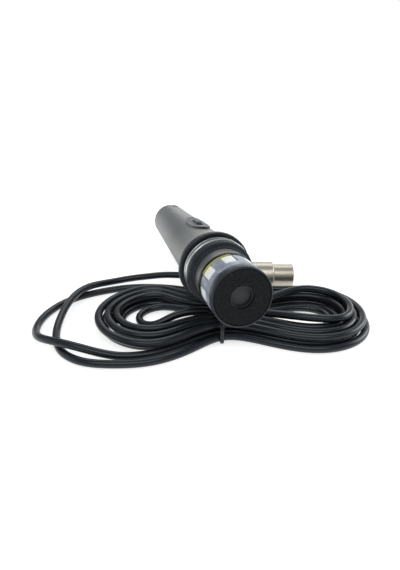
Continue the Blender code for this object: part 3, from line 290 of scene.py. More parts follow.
def cap_plastic():
    """Black plastic with cloudy reflections on its side, plain on its front edge."""
    made = Finish("cap_plastic", (0.02, 0.023, 0.027), 0.42)
    made.set("Specular Tint", COOL)
    made.set("Specular IOR Level", 0.38)
    along = made.placed(MIC)
    parts = made.node("ShaderNodeSeparateXYZ")
    made.link(along, parts.inputs["Vector"])
    reach = made.node("ShaderNodeMapRange")
    reach.inputs["From Min"].default_value = 0.2
    reach.inputs["From Max"].default_value = 3.2
    made.link(parts.outputs["Y"], reach.inputs["Value"])
    radius = made.node("ShaderNodeVectorMath", operation="LENGTH")
    made.link(made.placed(MIC, (1.0, 0.0, 1.0)), radius.inputs[0])
    outside = made.node("ShaderNodeMapRange")
    outside.inputs["From Min"].default_value = 12.0
    outside.inputs["From Max"].default_value = 15.0
    made.link(radius.outputs["Value"], outside.inputs["Value"])
    cloud = made.noise(0.22, 2.0, along)
    for share in (reach, outside):
        less = made.node("ShaderNodeMath", operation="MULTIPLY")
        made.link(cloud, less.inputs[0])
        made.link(share.outputs["Result"], less.inputs[1])
        cloud = less.outputs["Value"]
    made.colour(cloud, [(0.2, (0.014, 0.0165, 0.019)), (0.36, (0.022, 0.025, 0.03)),
                                         (0.48, (0.05, 0.056, 0.064)), (0.6, (0.11, 0.122, 0.138))])
    made.rough(made.noise(300.0), 0.34, 0.5)
    made.bump(made.noise(2600.0), 0.00005, 0.2)
    return made.material


def tie_nylon():
    """Black strap with painted highlights along two bands, painted shade at its edges and a painted shade line along
    its middle in place of a groove.
    """
    made = Finish("tie_nylon", (0.02, 0.022, 0.024), 0.4)
    made.set("Specular IOR Level", 0.3)
    parts = made.node("ShaderNodeSeparateXYZ")
    made.link(made.placed(COIL), parts.inputs["Vector"])
    across = made.node("ShaderNodeMapRange")
    across.inputs["From Min"].default_value = -1.1
    across.inputs["From Max"].default_value = 1.1
    made.link(parts.outputs["X"], across.inputs["Value"])
    # Painted light and shade across the strap: light bands are painted highlights, dark edges and the dark middle are
    # painted shade.
    light, dark = (0.033, 0.036, 0.038), (0.004, 0.0045, 0.005)
    made.colour(across.outputs["Result"], [
        (0.0, dark), (0.22, light), (0.36, light), (0.48, dark), (0.58, dark), (0.66, light), (0.8, light),
        (1.0, dark)])
    made.rough(made.noise(400.0), 0.3, 0.5)
    made.bump(made.noise(2200.0), 0.00004, 0.2)
    return made.material


def band_plastic():
    """Cloudy blue-grey plastic."""
    made = Finish("port_plastic", (0.24, 0.26, 0.32), 0.35)
    made.colour(made.noise(150.0, 3.0), [(0.3, (0.14, 0.165, 0.21)), (0.5, (0.23, 0.26, 0.32)),
                                         (0.7, (0.36, 0.4, 0.47))])
    made.bump(made.noise(1800.0), 0.00004, 0.2)
    return made.material


def gauze_cloth():
    """White damping cloth, stained yellow along its rear edge."""
    made = Finish("white_gauze", (0.8, 0.8, 0.76), 0.85)
    along = made.placed(MIC @ Matrix.Rotation(STAIN_ROLL, 4, "Y"))
    parts = made.node("ShaderNodeSeparateXYZ")
    made.link(along, parts.inputs["Vector"])
    spread = parts.outputs["Y"]
    for source, weight in ((made.noise(0.5, 2.0, along), 1.2), (parts.outputs["Z"], 0.5)):
        more = made.node("ShaderNodeMath", operation="MULTIPLY_ADD")
        more.inputs[1].default_value = weight
        made.link(source, more.inputs[0])
        made.link(spread, more.inputs[2])
        spread = more.outputs["Value"]
    reach = made.node("ShaderNodeMapRange")
    reach.inputs["From Min"].default_value = 23.9
    reach.inputs["From Max"].default_value = 29.7
    made.link(spread, reach.inputs["Value"])
    made.colour(reach.outputs["Result"], [(0.0, (0.86, 0.88, 0.89)), (0.4, (0.86, 0.87, 0.8)),
                                          (0.66, (0.82, 0.82, 0.5)), (0.92, (0.74, 0.74, 0.12))])
    weave = made.node("ShaderNodeTexVoronoi", Scale=2600.0)
    made.link(made.coords, weave.inputs["Vector"])
    made.bump(weave.outputs["Distance"], 0.0001, 0.4)
    return made.material


def screen_cloth():
    """Grey woven screen behind the centre port."""
    made = Finish("screen_cloth", (0.04, 0.04, 0.04), 0.7)
    waves = made.node("ShaderNodeTexVoronoi", Scale=1900.0)
    made.link(made.coords, waves.inputs["Vector"])
    made.colour(waves.outputs["Distance"], [(0.1, (0.032, 0.031, 0.031)), (0.7, (0.055, 0.053, 0.053))])
    made.bump(waves.outputs["Distance"], 0.0001, 0.4)
    return made.material


def gasket_film():
    """Film, yellow along the front edge of one arc and black elsewhere; the black over its rear lip is painted shadow
    of the gap before the can.
    """
    made = Finish("gasket_film", (0.62, 0.6, 0.04), 0.4)
    turned = made.placed(MIC @ Matrix.Rotation(YELLOW_ROLL, 4, "Y"))
    parts = made.node("ShaderNodeSeparateXYZ")
    made.link(turned, parts.inputs["Vector"])
    share = None
    for axis, low, high in (("Y", 20.9, 22.8), ("Z", 14.6, 12.9)):
        reach = made.node("ShaderNodeMapRange")
        reach.inputs["From Min"].default_value = low
        reach.inputs["From Max"].default_value = high
        made.link(parts.outputs[axis], reach.inputs["Value"])
        if share is None:
            share = reach.outputs["Result"]
            continue
        both = made.node("ShaderNodeMath", operation="ADD")
        made.link(share, both.inputs[0])
        made.link(reach.outputs["Result"], both.inputs[1])
        share = both.outputs["Value"]
    # Yellow at the front edge of one arc; the black over the rear lip is painted shadow of the gap before the can.
    made.colour(share, [(0.0, (0.55, 0.56, 0.04)), (0.28, (0.6, 0.6, 0.05)), (0.34, (0.01, 0.011, 0.01)),
                        (1.0, (0.006, 0.007, 0.007))])
    made.set("Specular IOR Level", 0.08)
    made.bump(made.noise(900.0), 0.00004, 0.3)
    return made.material


BLACK = moulded_black("black_plastic", (0.019, 0.022, 0.026), 0.3, 0.45, 2200.0, 0.4)
TIE_BLACK = tie_nylon()
CAP_BLACK = cap_plastic()
RUBBER = moulded_black("soft_rubber", (0.018, 0.0205, 0.025), 0.45, 0.65, 1500.0, 0.35)
PLATE_GREY = moulded_black("switch_plastic", (0.1, 0.105, 0.107), 0.4, 0.55, 2400.0)
# The slider is a lighter copy of the switch plastic, as painted light against the shade in its slot.
SLIDER_GREY = moulded_black("slider_plastic", (0.15, 0.156, 0.158), 0.35, 0.5, 2400.0)
PAINT = handle_paint()
JACKET = cable_jacket()
FOAM = foam()
BAND = band_plastic()
GAUZE = gauze_cloth()
SCREEN = screen_cloth()
GASKET = gasket_film()
BRIGHT = thread_metal()
# The can is a lighter copy of the grey metal, as painted light against the shade it sits in behind the gasket lip and
# mount.
CAN = turned_metal("can_metal", (0.27, 0.266, 0.258), 0.42, 0.55, MIC, 2.0, 0.05)
STEEL = turned_metal("grey_metal", (0.2, 0.205, 0.21), 0.4, 0.55, MIC, 5.0)
NICKEL = turned_metal("nickel", (0.48, 0.445, 0.375), 0.34, 0.4, PLUG, 1.2, 0.02)
JACK_NICKEL = turned_metal("jack_nickel", (0.58, 0.54, 0.47), 0.24, 0.3, JACK, 1.2, 0.02)
BRASS = turned_metal("contact_brass", (0.7, 0.52, 0.24), 0.2, 0.35, PLUG, 4.0)
COPPER = turned_metal("copper", (0.6, 0.3, 0.16), 0.3, 0.45, MIC, 4.0)
BOARD = moulded_black("board", (0.06, 0.12, 0.05), 0.4, 0.6, 1800.0, 0.5)
FILM = moulded_black("film", (0.6, 0.6, 0.62), 0.2, 0.35, 1800.0, 0.5)


# Mesh helpers
def spun(outline, steps):
    """A closed outline of (along, radius, rounding) in millimetres, rounded and spun about Y."""
    bm = bmesh.new()
    corners = []
    for along, radius, *rounding in outline:
        vert = bm.verts.new((0.0, along * MM, radius * MM))
        corners.append((vert, rounding[0] if rounding else 0.0))
    bm.faces.new([vert for vert, _ in corners])
    for vert, rounding in corners:
        if rounding > 0.0:
            bmesh.ops.bevel(bm, geom=[vert], offset=rounding * MM, offset_type="OFFSET", segments=4,
                            profile=0.5, affect="VERTICES", material=-1)
    bmesh.ops.delete(bm, geom=bm.faces[:], context="FACES_ONLY")
    on_axis = [e for e in bm.edges if max(v.co.z for v in e.verts) < 1e-9]
    bmesh.ops.delete(bm, geom=on_axis, context="EDGES")
    bmesh.ops.spin(bm, geom=bm.verts[:] + bm.edges[:], cent=(0, 0, 0), axis=(0, 1, 0),
                   angle=2 * math.pi, steps=steps, use_merge=True)
    bmesh.ops.remove_doubles(bm, verts=bm.verts[:], dist=1e-7)
    bmesh.ops.recalc_face_normals(bm, faces=bm.faces[:])
    return bm


def boxed(low, high, rounding=0.0):
    """A box between two corners in millimetres, with rounded edges."""
    bm = bmesh.new()
    bmesh.ops.create_cube(bm, size=1.0)
    size = [(b - a) * MM for a, b in zip(low, high)]
    centre = [(a + b) / 2 * MM for a, b in zip(low, high)]
    bmesh.ops.scale(bm, vec=size, verts=bm.verts[:])
    bmesh.ops.translate(bm, vec=centre, verts=bm.verts[:])
    if rounding > 0.0:
        bmesh.ops.bevel(bm, geom=bm.edges[:], offset=rounding * MM, offset_type="OFFSET", segments=3,
                        profile=0.5, affect="EDGES", material=-1)
    return bm


def prism(outline, low, high, rounding=0.0):
    """An outline of (along, up) in millimetres, extruded across from low to high."""
    bm = bmesh.new()
    face = bm.faces.new([bm.verts.new((low * MM, y * MM, z * MM)) for y, z in outline])
    grown = bmesh.ops.extrude_face_region(bm, geom=[face])
    verts = [g for g in grown["geom"] if isinstance(g, bmesh.types.BMVert)]
    bmesh.ops.translate(bm, vec=((high - low) * MM, 0.0, 0.0), verts=verts)
    bmesh.ops.recalc_face_normals(bm, faces=bm.faces[:])
    if rounding > 0.0:
        bmesh.ops.bevel(bm, geom=bm.edges[:], offset=rounding * MM, offset_type="OFFSET", segments=3,
                        profile=0.5, affect="EDGES", material=-1)
    return bm


def as_mesh(name, bm, place):
    """Finish a bmesh as a smooth mesh standing in its place."""
    bmesh.ops.transform(bm, matrix=place, verts=bm.verts[:])
    bmesh.ops.recalc_face_normals(bm, faces=bm.faces[:])
    mesh = bpy.data.meshes.new(name)
    bm.to_mesh(mesh)
    bm.free()
    mesh.shade_smooth()
    mesh.set_sharp_from_angle(angle=math.radians(38.0))
    return mesh


def piece(name, bm, material, place, body, slot, *nodes):
    """A finished piece that rides on a body and stands for CAD nodes."""
    mesh = as_mesh(name, bm, place)
    mesh.materials.append(material)
    made = bpy.data.objects.new(name, mesh)
    bpy.context.scene.collection.objects.link(made)
    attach(made, body)
    if nodes:
        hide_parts(*nodes)
    return made


def carve(made, cutters):
    """Cut bmeshes, already in place, out of a piece."""
    for k, (bm, place) in enumerate(cutters):
        mesh = as_mesh("cutter_%d" % k, bm, place)
        cutter = bpy.data.objects.new("cutter_%d" % k, mesh)
        bpy.context.scene.collection.objects.link(cutter)
        mod = made.modifiers.new("cut", "BOOLEAN")
        mod.operation = "DIFFERENCE"
        mod.solver = "EXACT"
        mod.object = cutter
        graph = bpy.context.evaluated_depsgraph_get()
        graph.update()
        cut_mesh = bpy.data.meshes.new_from_object(made.evaluated_get(graph))
        made.modifiers.clear()
        made.data = cut_mesh
        bpy.data.objects.remove(cutter, do_unlink=True)
    made.data.shade_smooth()
    made.data.set_sharp_from_angle(angle=math.radians(38.0))


# Microphone
PORTS = 8
PORT_ROLL = math.radians(-8.0)
PORT_HALF = math.radians(13.0)
PORT_SPAN = (10.9, 20.7)
CAP_END = 5.4
RIDGES = ((40.6, 43.1, 19.85), (44.9, 46.0, 19.75))


def make_cartridge():
    """Foam face, cap, port band, gauze, gasket and can."""
    outer = 15.4
    inner = 6.4
    foam_ring = [(1.9, inner), (1.9, outer), (0.6, outer, 0.25)]
    rings = 24
    foam_ring += [(0.25, outer - 0.2 - (outer - inner - 0.3) * k / rings) for k in range(rings)]
    foam_ring += [(0.3, inner + 0.1), (0.7, inner)]
    bm = spun(foam_ring, 180)
    for vert in bm.verts:
        if vert.co.y < 0.7 * MM:
            vert.co.y += 0.14 * MM * noise.noise(vert.co * 2600.0)
    piece("foam_face", bm, FOAM, MIC, "microphone", "felt", "front_felt")
    piece("cap", spun([
        (0.0, 15.7, 0.12), (0.0, 16.6, 0.78), (CAP_END, 16.6, 0.25), (CAP_END, 15.7), (4.4, 15.7), (4.4, 5.6, 0.2),
        (2.2, 5.6, 0.3), (2.2, 15.7)], 144), CAP_BLACK, MIC, "microphone", "black_plastic", "front_cap")
    piece("screen", spun([(4.7, 0.0), (4.7, 7.0), (5.3, 7.0), (5.3, 0.0)], 64),
          SCREEN, MIC, "microphone", "grey_plastic", "center_screen")
    make_port_band()
    make_gauze()
    piece("gasket", spun([
        (21.75, 14.1), (21.75, 16.58), (20.95, 16.58), (20.95, 16.76, 0.06), (24.6, 16.76, 0.1), (24.6, 16.3),
        (22.5, 16.3), (22.5, 14.1)], 144),
        GASKET, MIC, "microphone", "yellow_gasket", "can_gasket")
    piece("can", spun([
        (22.55, 14.1), (22.55, 15.3, 0.3), (24.75, 15.3), (24.75, 16.2, 0.3), (34.0, 16.2, 0.3), (34.0, 15.3),
        (45.05, 15.3, 0.2), (45.05, 14.1)], 144),
          CAN, MIC, "microphone", "grey_metal", "cartridge_can")


def from_window(point):
    """Angle between a point and the middle of the nearest window."""
    pitch = 2 * math.pi / PORTS
    roll = math.atan2(point.x, point.z) - PORT_ROLL
    return abs((roll + pitch / 2) % pitch - pitch / 2)


def set_radius(vert, radius):
    """Move a vertex to a radius about the axis."""
    share = radius / math.hypot(vert.co.x, vert.co.z)
    vert.co.x *= share
    vert.co.z *= share


def round_windows(bm):
    """Move the ends of each window's outline so that its corners are round."""
    radius = 1.3
    middle = sum(PORT_SPAN) / 2
    for vert in bm.verts:
        at = vert.co.y / MM
        if min(abs(at - end) for end in PORT_SPAN) > 0.01:
            continue
        aside = from_window(vert.co) - PORT_HALF
        inside = min(max(-aside * 16.2, 0.0), radius)
        if aside < math.radians(0.5):
            cut = radius - math.sqrt(radius ** 2 - (radius - inside) ** 2)
            vert.co.y += math.copysign(cut, middle - at) * MM


def make_port_band():
    """Thin ring, opened by its windows and then given its wall."""
    wall = 0.6 * MM
    outer = 16.5 * MM
    bm = bmesh.new()
    stops = (CAP_END + 0.3, *PORT_SPAN, 21.6)
    verts = [bm.verts.new((0.0, s * MM, outer - wall / 2)) for s in stops]
    edges = [bm.edges.new(pair) for pair in zip(verts, verts[1:])]
    bmesh.ops.spin(bm, geom=verts + edges, cent=(0, 0, 0), axis=(0, 1, 0), angle=2 * math.pi,
                   steps=384, use_merge=True)
    round_windows(bm)
    holes = []
    for face in bm.faces:
        centre = face.calc_center_median()
        if from_window(centre) < PORT_HALF and PORT_SPAN[0] < centre.y / MM < PORT_SPAN[1]:
            holes.append(face)
    bmesh.ops.delete(bm, geom=holes, context="FACES")
    bmesh.ops.recalc_face_normals(bm, faces=bm.faces[:])
    bmesh.ops.solidify(bm, geom=bm.faces[:], thickness=wall)
    shift = outer - max(math.hypot(v.co.x, v.co.z) for v in bm.verts)
    for vert in bm.verts:
        set_radius(vert, math.hypot(vert.co.x, vert.co.z) + shift)
    sharp = [e for e in bm.edges if len(e.link_faces) == 2 and e.calc_face_angle() > 1.0]
    bmesh.ops.bevel(bm, geom=sharp, offset=0.14 * MM, offset_type="OFFSET", segments=2, profile=0.5,
                    affect="EDGES", material=-1)
    piece("ported_band", bm, BAND, MIC, "microphone", "grey_plastic", "port_band")


def make_gauze():
    """Cloth sleeve behind the band that fills each window almost flush."""
    low, high = PORT_SPAN
    stops = (CAP_END + 0.3, low + 0.2, low + 0.35, high - 0.35, high - 0.2, 21.6)
    bm = spun([(CAP_END + 0.3, 15.1)] + [(s, 15.6) for s in stops] + [(21.6, 15.1)], 192)
    for vert in bm.verts:
        inside = low + 0.3 < vert.co.y / MM < high - 0.3
        if inside and from_window(vert.co) < PORT_HALF - math.radians(2.0):
            if math.hypot(vert.co.x, vert.co.z) > 15.4 * MM:
                set_radius(vert, 16.32 * MM)
    piece("gauze", bm, GAUZE, MIC, "microphone", "white_gauze", "port_gauze")


def make_head():
    """Rubber mount, threaded collar and head ring."""
    piece("rubber_mount", spun([
        (34.3, 15.6), (34.3, 17.2, 0.8), (35.9, 17.2, 0.3), (35.9, 19.5, 0.9), (39.9, 19.5, 0.4),
        (39.9, 17.2), (46.7, 17.2), (46.7, 15.6)], 128), RUBBER, MIC, "microphone", "soft_rubber", "shock_mount")
    collar = [(40.2, 17.5), (40.2, 19.4, 0.1)]
    for start, end, radius in RIDGES:
        collar += [(start, 19.4, 0.1), (start + 0.3, radius, 0.15), (end - 0.3, radius, 0.15), (end, 19.4, 0.1)]
    collar += [(48.4, 19.4, 0.08), (48.4, 14.93), (60.4, 14.93), (60.4, 13.93), (47.0, 13.93), (47.0, 17.5)]
    piece("collar", spun(collar, 160), BRIGHT, MIC, "microphone", "bright_metal", "thread_collar")
    piece("ring", spun([
        (48.7, 15.23), (48.7, 20.3), (48.2, 20.3, 0.15), (48.2, 21.75, 0.6), (52.0, 21.75, 0.5),
        (53.4, 20.35, 0.4), (53.4, 15.23)], 160), BLACK, MIC, "microphone", "black_plastic", "head_ring")


def make_handle():
    """Tapered shell with its openings, the switch and the tail socket."""
    shell = piece("handle", spun([
        (HANDLE_AT, HANDLE_R - HANDLE_WALL), (HANDLE_AT, HANDLE_R, 0.3), (TAIL_AT, TAIL_R, 0.9),
        (TAIL_AT, TAIL_R - HANDLE_WALL, 0.3)], 160), PAINT, MIC, "microphone", "handle_paint", "handle_shell")
    turn = MIC @ Matrix.Rotation(SWITCH_ROLL, 4, "Y")
    notch = MIC @ Matrix.Rotation(NOTCH_ROLL, 4, "Y")
    under = turn @ Matrix.Rotation(math.pi, 4, "Y")
    screw = under @ Matrix.Translation((0.0, (TAIL_AT - 15.5) * MM, 0.0)) @ Matrix.Rotation(math.pi / 2, 4, "X")
    carve(shell, [
        (boxed((-3.1, SWITCH_AT - 7.5, 8.0), (3.1, SWITCH_AT + 7.5, 20.0)), turn),
        (boxed((-2.3, TAIL_AT - 10.5, 9.0), (2.3, TAIL_AT - 5.0, 18.0), 0.6), notch),
        (spun([(8.0, 0.0), (8.0, 1.7), (18.0, 1.7), (18.0, 0.0)], 32), screw)])
    make_switch()
    piece("socket", spun([
        (160.2, 0.0), (160.2, 11.0), (177.4, 11.0, 0.2), (177.4, 8.1, 0.4), (164.2, 8.1), (164.2, 0.0)], 96),
        BLACK, MIC, "microphone", "black_plastic", "tail_insert")
    for k in range(3):
        angle = SWITCH_ROLL + math.pi + (k - 1) * math.radians(100.0)
        place = MIC @ Matrix.Translation((3.8 * MM * math.sin(angle), 0.0, 3.8 * MM * math.cos(angle)))
        piece("socket_pin_%d" % (k + 1), spun([
            (164.5, 0.0), (164.5, 1.2), (172.5, 1.2, 0.6), (172.5, 0.0)], 32),
            NICKEL, place, "microphone", "nickel", "tail_pin_%d" % (k + 1))
    outer = handle_radius(TAIL_AT - 15.5) - 0.4
    head = piece("set_screw", spun([(11.3, 0.0), (11.3, 1.4), (outer, 1.4, 0.2), (outer, 0.0)], 32),
                 STEEL, screw, "microphone", "grey_metal", "tail_screw")
    carve(head, [(boxed((-1.6, outer - 0.8, -0.2), (1.6, outer + 1.0, 0.2)), screw)])


def seat_height(x, y):
    """Height of the handle's surface in the switch frame, in millimetres."""
    radius = handle_radius(SWITCH_AT) / math.cos(CONE) - y * math.tan(CONE)
    return math.sqrt(max(radius ** 2 - x ** 2, 0.0)) - radius


def make_switch():
    """Oval plate with its slot, and the ribbed slider."""
    bm = bmesh.new()
    count = 96
    outline = []
    for i in range(count):
        angle = 2 * math.pi * i / count
        x = 6.7 * math.copysign(abs(math.sin(angle)) ** 0.9, math.sin(angle))
        y = 17.5 * math.copysign(abs(math.cos(angle)) ** 0.9, math.cos(angle))
        outline.append(bm.verts.new((x * MM, y * MM, 0.0)))
    face = bm.faces.new(outline)
    for inset in (0.5, 0.8, 1.2, 1.4):
        bmesh.ops.inset_region(bm, faces=[face], thickness=inset * MM, use_even_offset=True)
    rim = set(outline)
    for vert in bm.verts:
        drop = 0.3 if vert in rim else 0.0
        vert.co.z = (seat_height(vert.co.x / MM, vert.co.y / MM) + 1.7 - drop) * MM
    grown = bmesh.ops.extrude_face_region(bm, geom=bm.faces[:])
    for vert in grown["geom"]:
        if isinstance(vert, bmesh.types.BMVert):
            vert.co.z = (seat_height(vert.co.x / MM, vert.co.y / MM) + 0.1) * MM
    bmesh.ops.recalc_face_normals(bm, faces=bm.faces[:])
    # The plate's side walls get the black plastic as a painted shadow line along the plate's edge.
    for face in bm.faces:
        if abs(face.normal.z) < 0.5:
            face.material_index = 1
    plate = piece("switch_oval", bm, PLATE_GREY, SWITCH, "microphone", "dark_plastic", "switch_plate")
    plate.data.materials.append(BLACK)
    carve(plate, [(boxed((-2.2, -6.4, -6.0), (2.2, 6.4, 6.0), 0.6), SWITCH)])
    low, high, valley = -2.5, 1.95, 1.5
    rest = 2.25
    half = 3.9
    ribs = 4
    rib = 2 * half / ribs
    side = [(rest - half, 0.5), (rest - half, high - 0.2)]
    for k in range(ribs):
        y = rest - half + rib * k
        side += [(y + 0.25 * rib, high), (y + 0.6 * rib, high)]
        if k < ribs - 1:
            side.append((y + 0.9 * rib, valley))
    side += [(rest + half, high - 0.2), (rest + half, 0.5), (rest + 1.8, 0.5), (rest + 1.8, low), (rest - 1.8, low),
             (rest - 1.8, 0.5)]
    bm = prism(side, -1.9, 1.9)
    piece("slider", bm, SLIDER_GREY, SWITCH, "thumb_slider", "dark_plastic", "switch_slider")


# Cable
LOOPS = 7
CORD_D = 4.6
FLOOR_Z = 2.3
LAYER = 5.15
WAIST_LIFT = 1.3
WAIST_STEP = 5.10
WAIST_FRONT = 18.7
WAIST_BACK = 19.3
RIGHT_END = (55.3, -0.6, 29.3)
RIGHT_STEP = 5.10
RIGHT_SPREAD = 0.5
LEFT_END = (-39.5, -2.0, 36.0)
LEFT_STEP = 5.50
LEFT_SPREAD = 2.2
SHOULDER_STEP = 5.40


def end_arc(end, start):
    """Five places round one end of the coil."""
    along, across, radius = end
    places = []
    for k in range(5):
        angle = math.radians(start + 45.0 * k)
        places.append((along + radius * math.cos(angle), across + radius * math.sin(angle)))
    return places


def coil_stations():
    """Places round one turn of the coil: share of the turn, place, step to the next loop."""
    stations = [(0.0, (0.0, -WAIST_FRONT), WAIST_STEP), (0.09, (27.0, -22.6), RIGHT_STEP + 0.6 * RIGHT_SPREAD)]
    for k, place in enumerate(end_arc(RIGHT_END, -90.0)):
        stations.append((0.17 + 0.05 * k, place, RIGHT_STEP + RIGHT_SPREAD * max(0.0, 1.0 - 0.5 * k)))
    stations += [(0.44, (27.0, 23.2), RIGHT_STEP), (0.5, (0.0, WAIST_BACK), WAIST_STEP),
                 (0.57, (-20.0, 24.6), SHOULDER_STEP)]
    for k, place in enumerate(end_arc(LEFT_END, 90.0)):
        stations.append((0.64 + 0.055 * k, place, LEFT_STEP + LEFT_SPREAD * max(0.0, 0.5 * k - 1.0)))
    stations.append((0.93, (-20.0, -28.0), SHOULDER_STEP + 0.5 * LEFT_SPREAD))
    return stations


STATIONS = coil_stations()
TURN = len(STATIONS)


# Stations where a loop leaves the plain spiral: steps inward and layers up. The fourth loop lies
# low inside the left half, the fifth lies on top of the right half.
LAY = {
    (3, 9): (3.5, 0.6), (3, 10): (4.05, 0.25), (3, 11): (4.27, 0.05), (3, 12): (4.66, 0.0),
    (3, 13): (4.13, 0.05), (3, 14): (3.6, 0.3), (3, 15): (3.5, 0.92), (4, 0): (3.1, 1.0),
    (4, 1): (2.75, 1.5), (4, 2): (2.05, 2.03), (4, 3): (1.38, 1.9), (4, 4): (1.23, 1.84), (4, 5): (1.2, 1.86),
    (4, 6): (1.65, 2.03), (4, 7): (2.42, 1.5),
}


def station_point(index):
    """Point of the coil at a running station number."""
    loop, k = divmod(index, TURN)
    share, place, step = STATIONS[k]
    before = STATIONS[(k - 1) % TURN][1]
    after = STATIONS[(k + 1) % TURN][1]
    heading = math.atan2(after[1] - before[1], after[0] - before[0])
    turns = loop + share
    inward = turns if turns <= LOOPS / 2 else LOOPS - turns
    climb = min(max((turns - LOOPS / 2 + 0.25) / 0.5, 0.0), 1.0)
    layer = climb * climb * (3 - 2 * climb)
    inward, layer = LAY.get((loop, k), (inward, layer))
    lift = 0.5 * WAIST_LIFT * (1 + math.cos(math.pi * min(1.0, abs(place[0]) / 27.0)))
    return (place[0] - math.sin(heading) * step * inward, place[1] + math.cos(heading) * step * inward,
            FLOOR_Z + LAYER * layer + lift)


ROUTE_OUT = [
    (-36.0, 50.2, 6.6), (-48.0, 51.8, 4.9), (-62.0, 52.0, 3.0), (-76.0, 46.5, 2.7), (-87.0, 36.0, 4.7),
    (-93.5, 23.0, 5.5), (-97.2, 8.0, 3.6), (-98.0, -8.0, 0.8), (-95.0, -24.0, 0.0), (-87.5, -38.0, 0.0),
    (-75.0, -46.5, 0.0), (-60.0, -48.8, 0.0)]
ROUTE_BACK = [
    (28.0, 28.0, 0.0), (6.0, 30.0, 0.0), (-12.0, 35.2, 0.0), (-28.0, 41.0, 0.0), (-44.0, 43.8, 0.0),
    (-62.0, 43.0, 0.0), (-79.0, 37.4, 0.0), (-95.0, 27.7, 0.0), (-106.0, 13.0, 0.0), (-110.3, -3.0, 0.0),
    (-108.5, -18.0, 0.8), (-101.0, -29.5, 3.8), (-89.0, -36.5, 5.5), (-74.0, -40.8, 4.0), (-58.0, -42.4, 1.0)]
ROUTE_JACK = [
    (41.0, 30.0, 5.2), (28.0, 32.0, 4.8), (15.0, 35.6, 3.2), (5.0, 40.2, 1.2), (-3.0, 46.5, 0.0),
    (-7.4, 54.0, 0.0), (-6.6, 62.0, 0.3), (-3.6, 70.0, 1.7), (-1.4, 77.5, 3.7), (-0.7, 82.6, 4.6)]


def lifted(points):
    """Route points above a cord that lies on the floor."""
    return [(x, y, FLOOR_Z + z) for x, y, z in points]


def cable_points():
    """The whole cable from the connector's boot to the phone plug, in millimetres in the coil's frame."""
    along, across, high = PLUG_TIP
    boot_end = along - 72.6
    start = [(boot_end + 20.0, across, high), (boot_end + 10.0, across, high), (boot_end, across, high),
             (boot_end - 6.0, across, high - 0.1)]
    into = [station_point(i) for i in range(-TURN - 2, -TURN + 7)]
    coil = [station_point(i) for i in range(-2, LOOPS * TURN + 7)]
    plug_end = COIL.inverted() @ Vector((21.8, 88.0, 7.0))
    plug_way = COIL.inverted().to_3x3() @ Vector((0.0, 1.0, 0.0))
    finish = [tuple(plug_end - plug_way * back) for back in (4.0, -2.0, -13.0)]
    return np.array(start + lifted(ROUTE_OUT) + into + lifted(ROUTE_BACK) + coil + lifted(ROUTE_JACK) + finish)


def smooth_route(points, spacing):
    """Even points along a smooth curve through the given ones, and its length."""
    chord = np.linalg.norm(np.diff(points, axis=0), axis=1)
    count = len(points)
    system = np.eye(count)
    right = np.zeros((count, 3))
    for i in range(1, count - 1):
        system[i, i - 1] = chord[i - 1]
        system[i, i] = 2 * (chord[i - 1] + chord[i])
        system[i, i + 1] = chord[i]
        right[i] = 6 * ((points[i + 1] - points[i]) / chord[i] - (points[i] - points[i - 1]) / chord[i - 1])
    bend = np.linalg.solve(system, right)
    knots = np.concatenate(([0.0], np.cumsum(chord)))

    def at(knot):
        i = np.clip(np.searchsorted(knots, knot, side="right") - 1, 0, len(chord) - 1)
        span = chord[i][:, None]
        x = (knot - knots[i])[:, None]
        y = span - x
        return ((bend[i] * y ** 3 + bend[i + 1] * x ** 3) / (6 * span)
                + (points[i] / span - bend[i] * span / 6) * y
                + (points[i + 1] / span - bend[i + 1] * span / 6) * x)

    fine = np.linspace(0.0, knots[-1], 8000)
    lengths = np.concatenate(([0.0], np.cumsum(np.linalg.norm(np.diff(at(fine), axis=0), axis=1))))
    even = np.linspace(0.0, lengths[-1], int(lengths[-1] / spacing))
    return at(np.interp(even, lengths, fine)), float(lengths[-1])


def make_cable():
    """The cable as one curve."""
    points, length = smooth_route(cable_points(), 3.2)
    curve = bpy.data.curves.new("cable", "CURVE")
    curve.dimensions = "3D"
    curve.bevel_depth = CORD_D / 2 * MM
    curve.bevel_resolution = 6
    curve.use_fill_caps = True
    spline = curve.splines.new("POLY")
    spline.points.add(len(points) - 1)
    for target, point in zip(spline.points, points):
        target.co = (*(COIL @ (Vector(point) * MM)), 1.0)
        target.radius = 1.0
    spline.use_smooth = True
    curve.materials.append(JACKET)
    cable = bpy.data.objects.new("cable", curve)
    bpy.context.scene.collection.objects.link(cable)
    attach(cable, "cable_set")
    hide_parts("cable_coil", "cable_lead_long", "cable_lead_short")
    return cable, length * MM, COIL @ (Vector(points[0]) * MM)


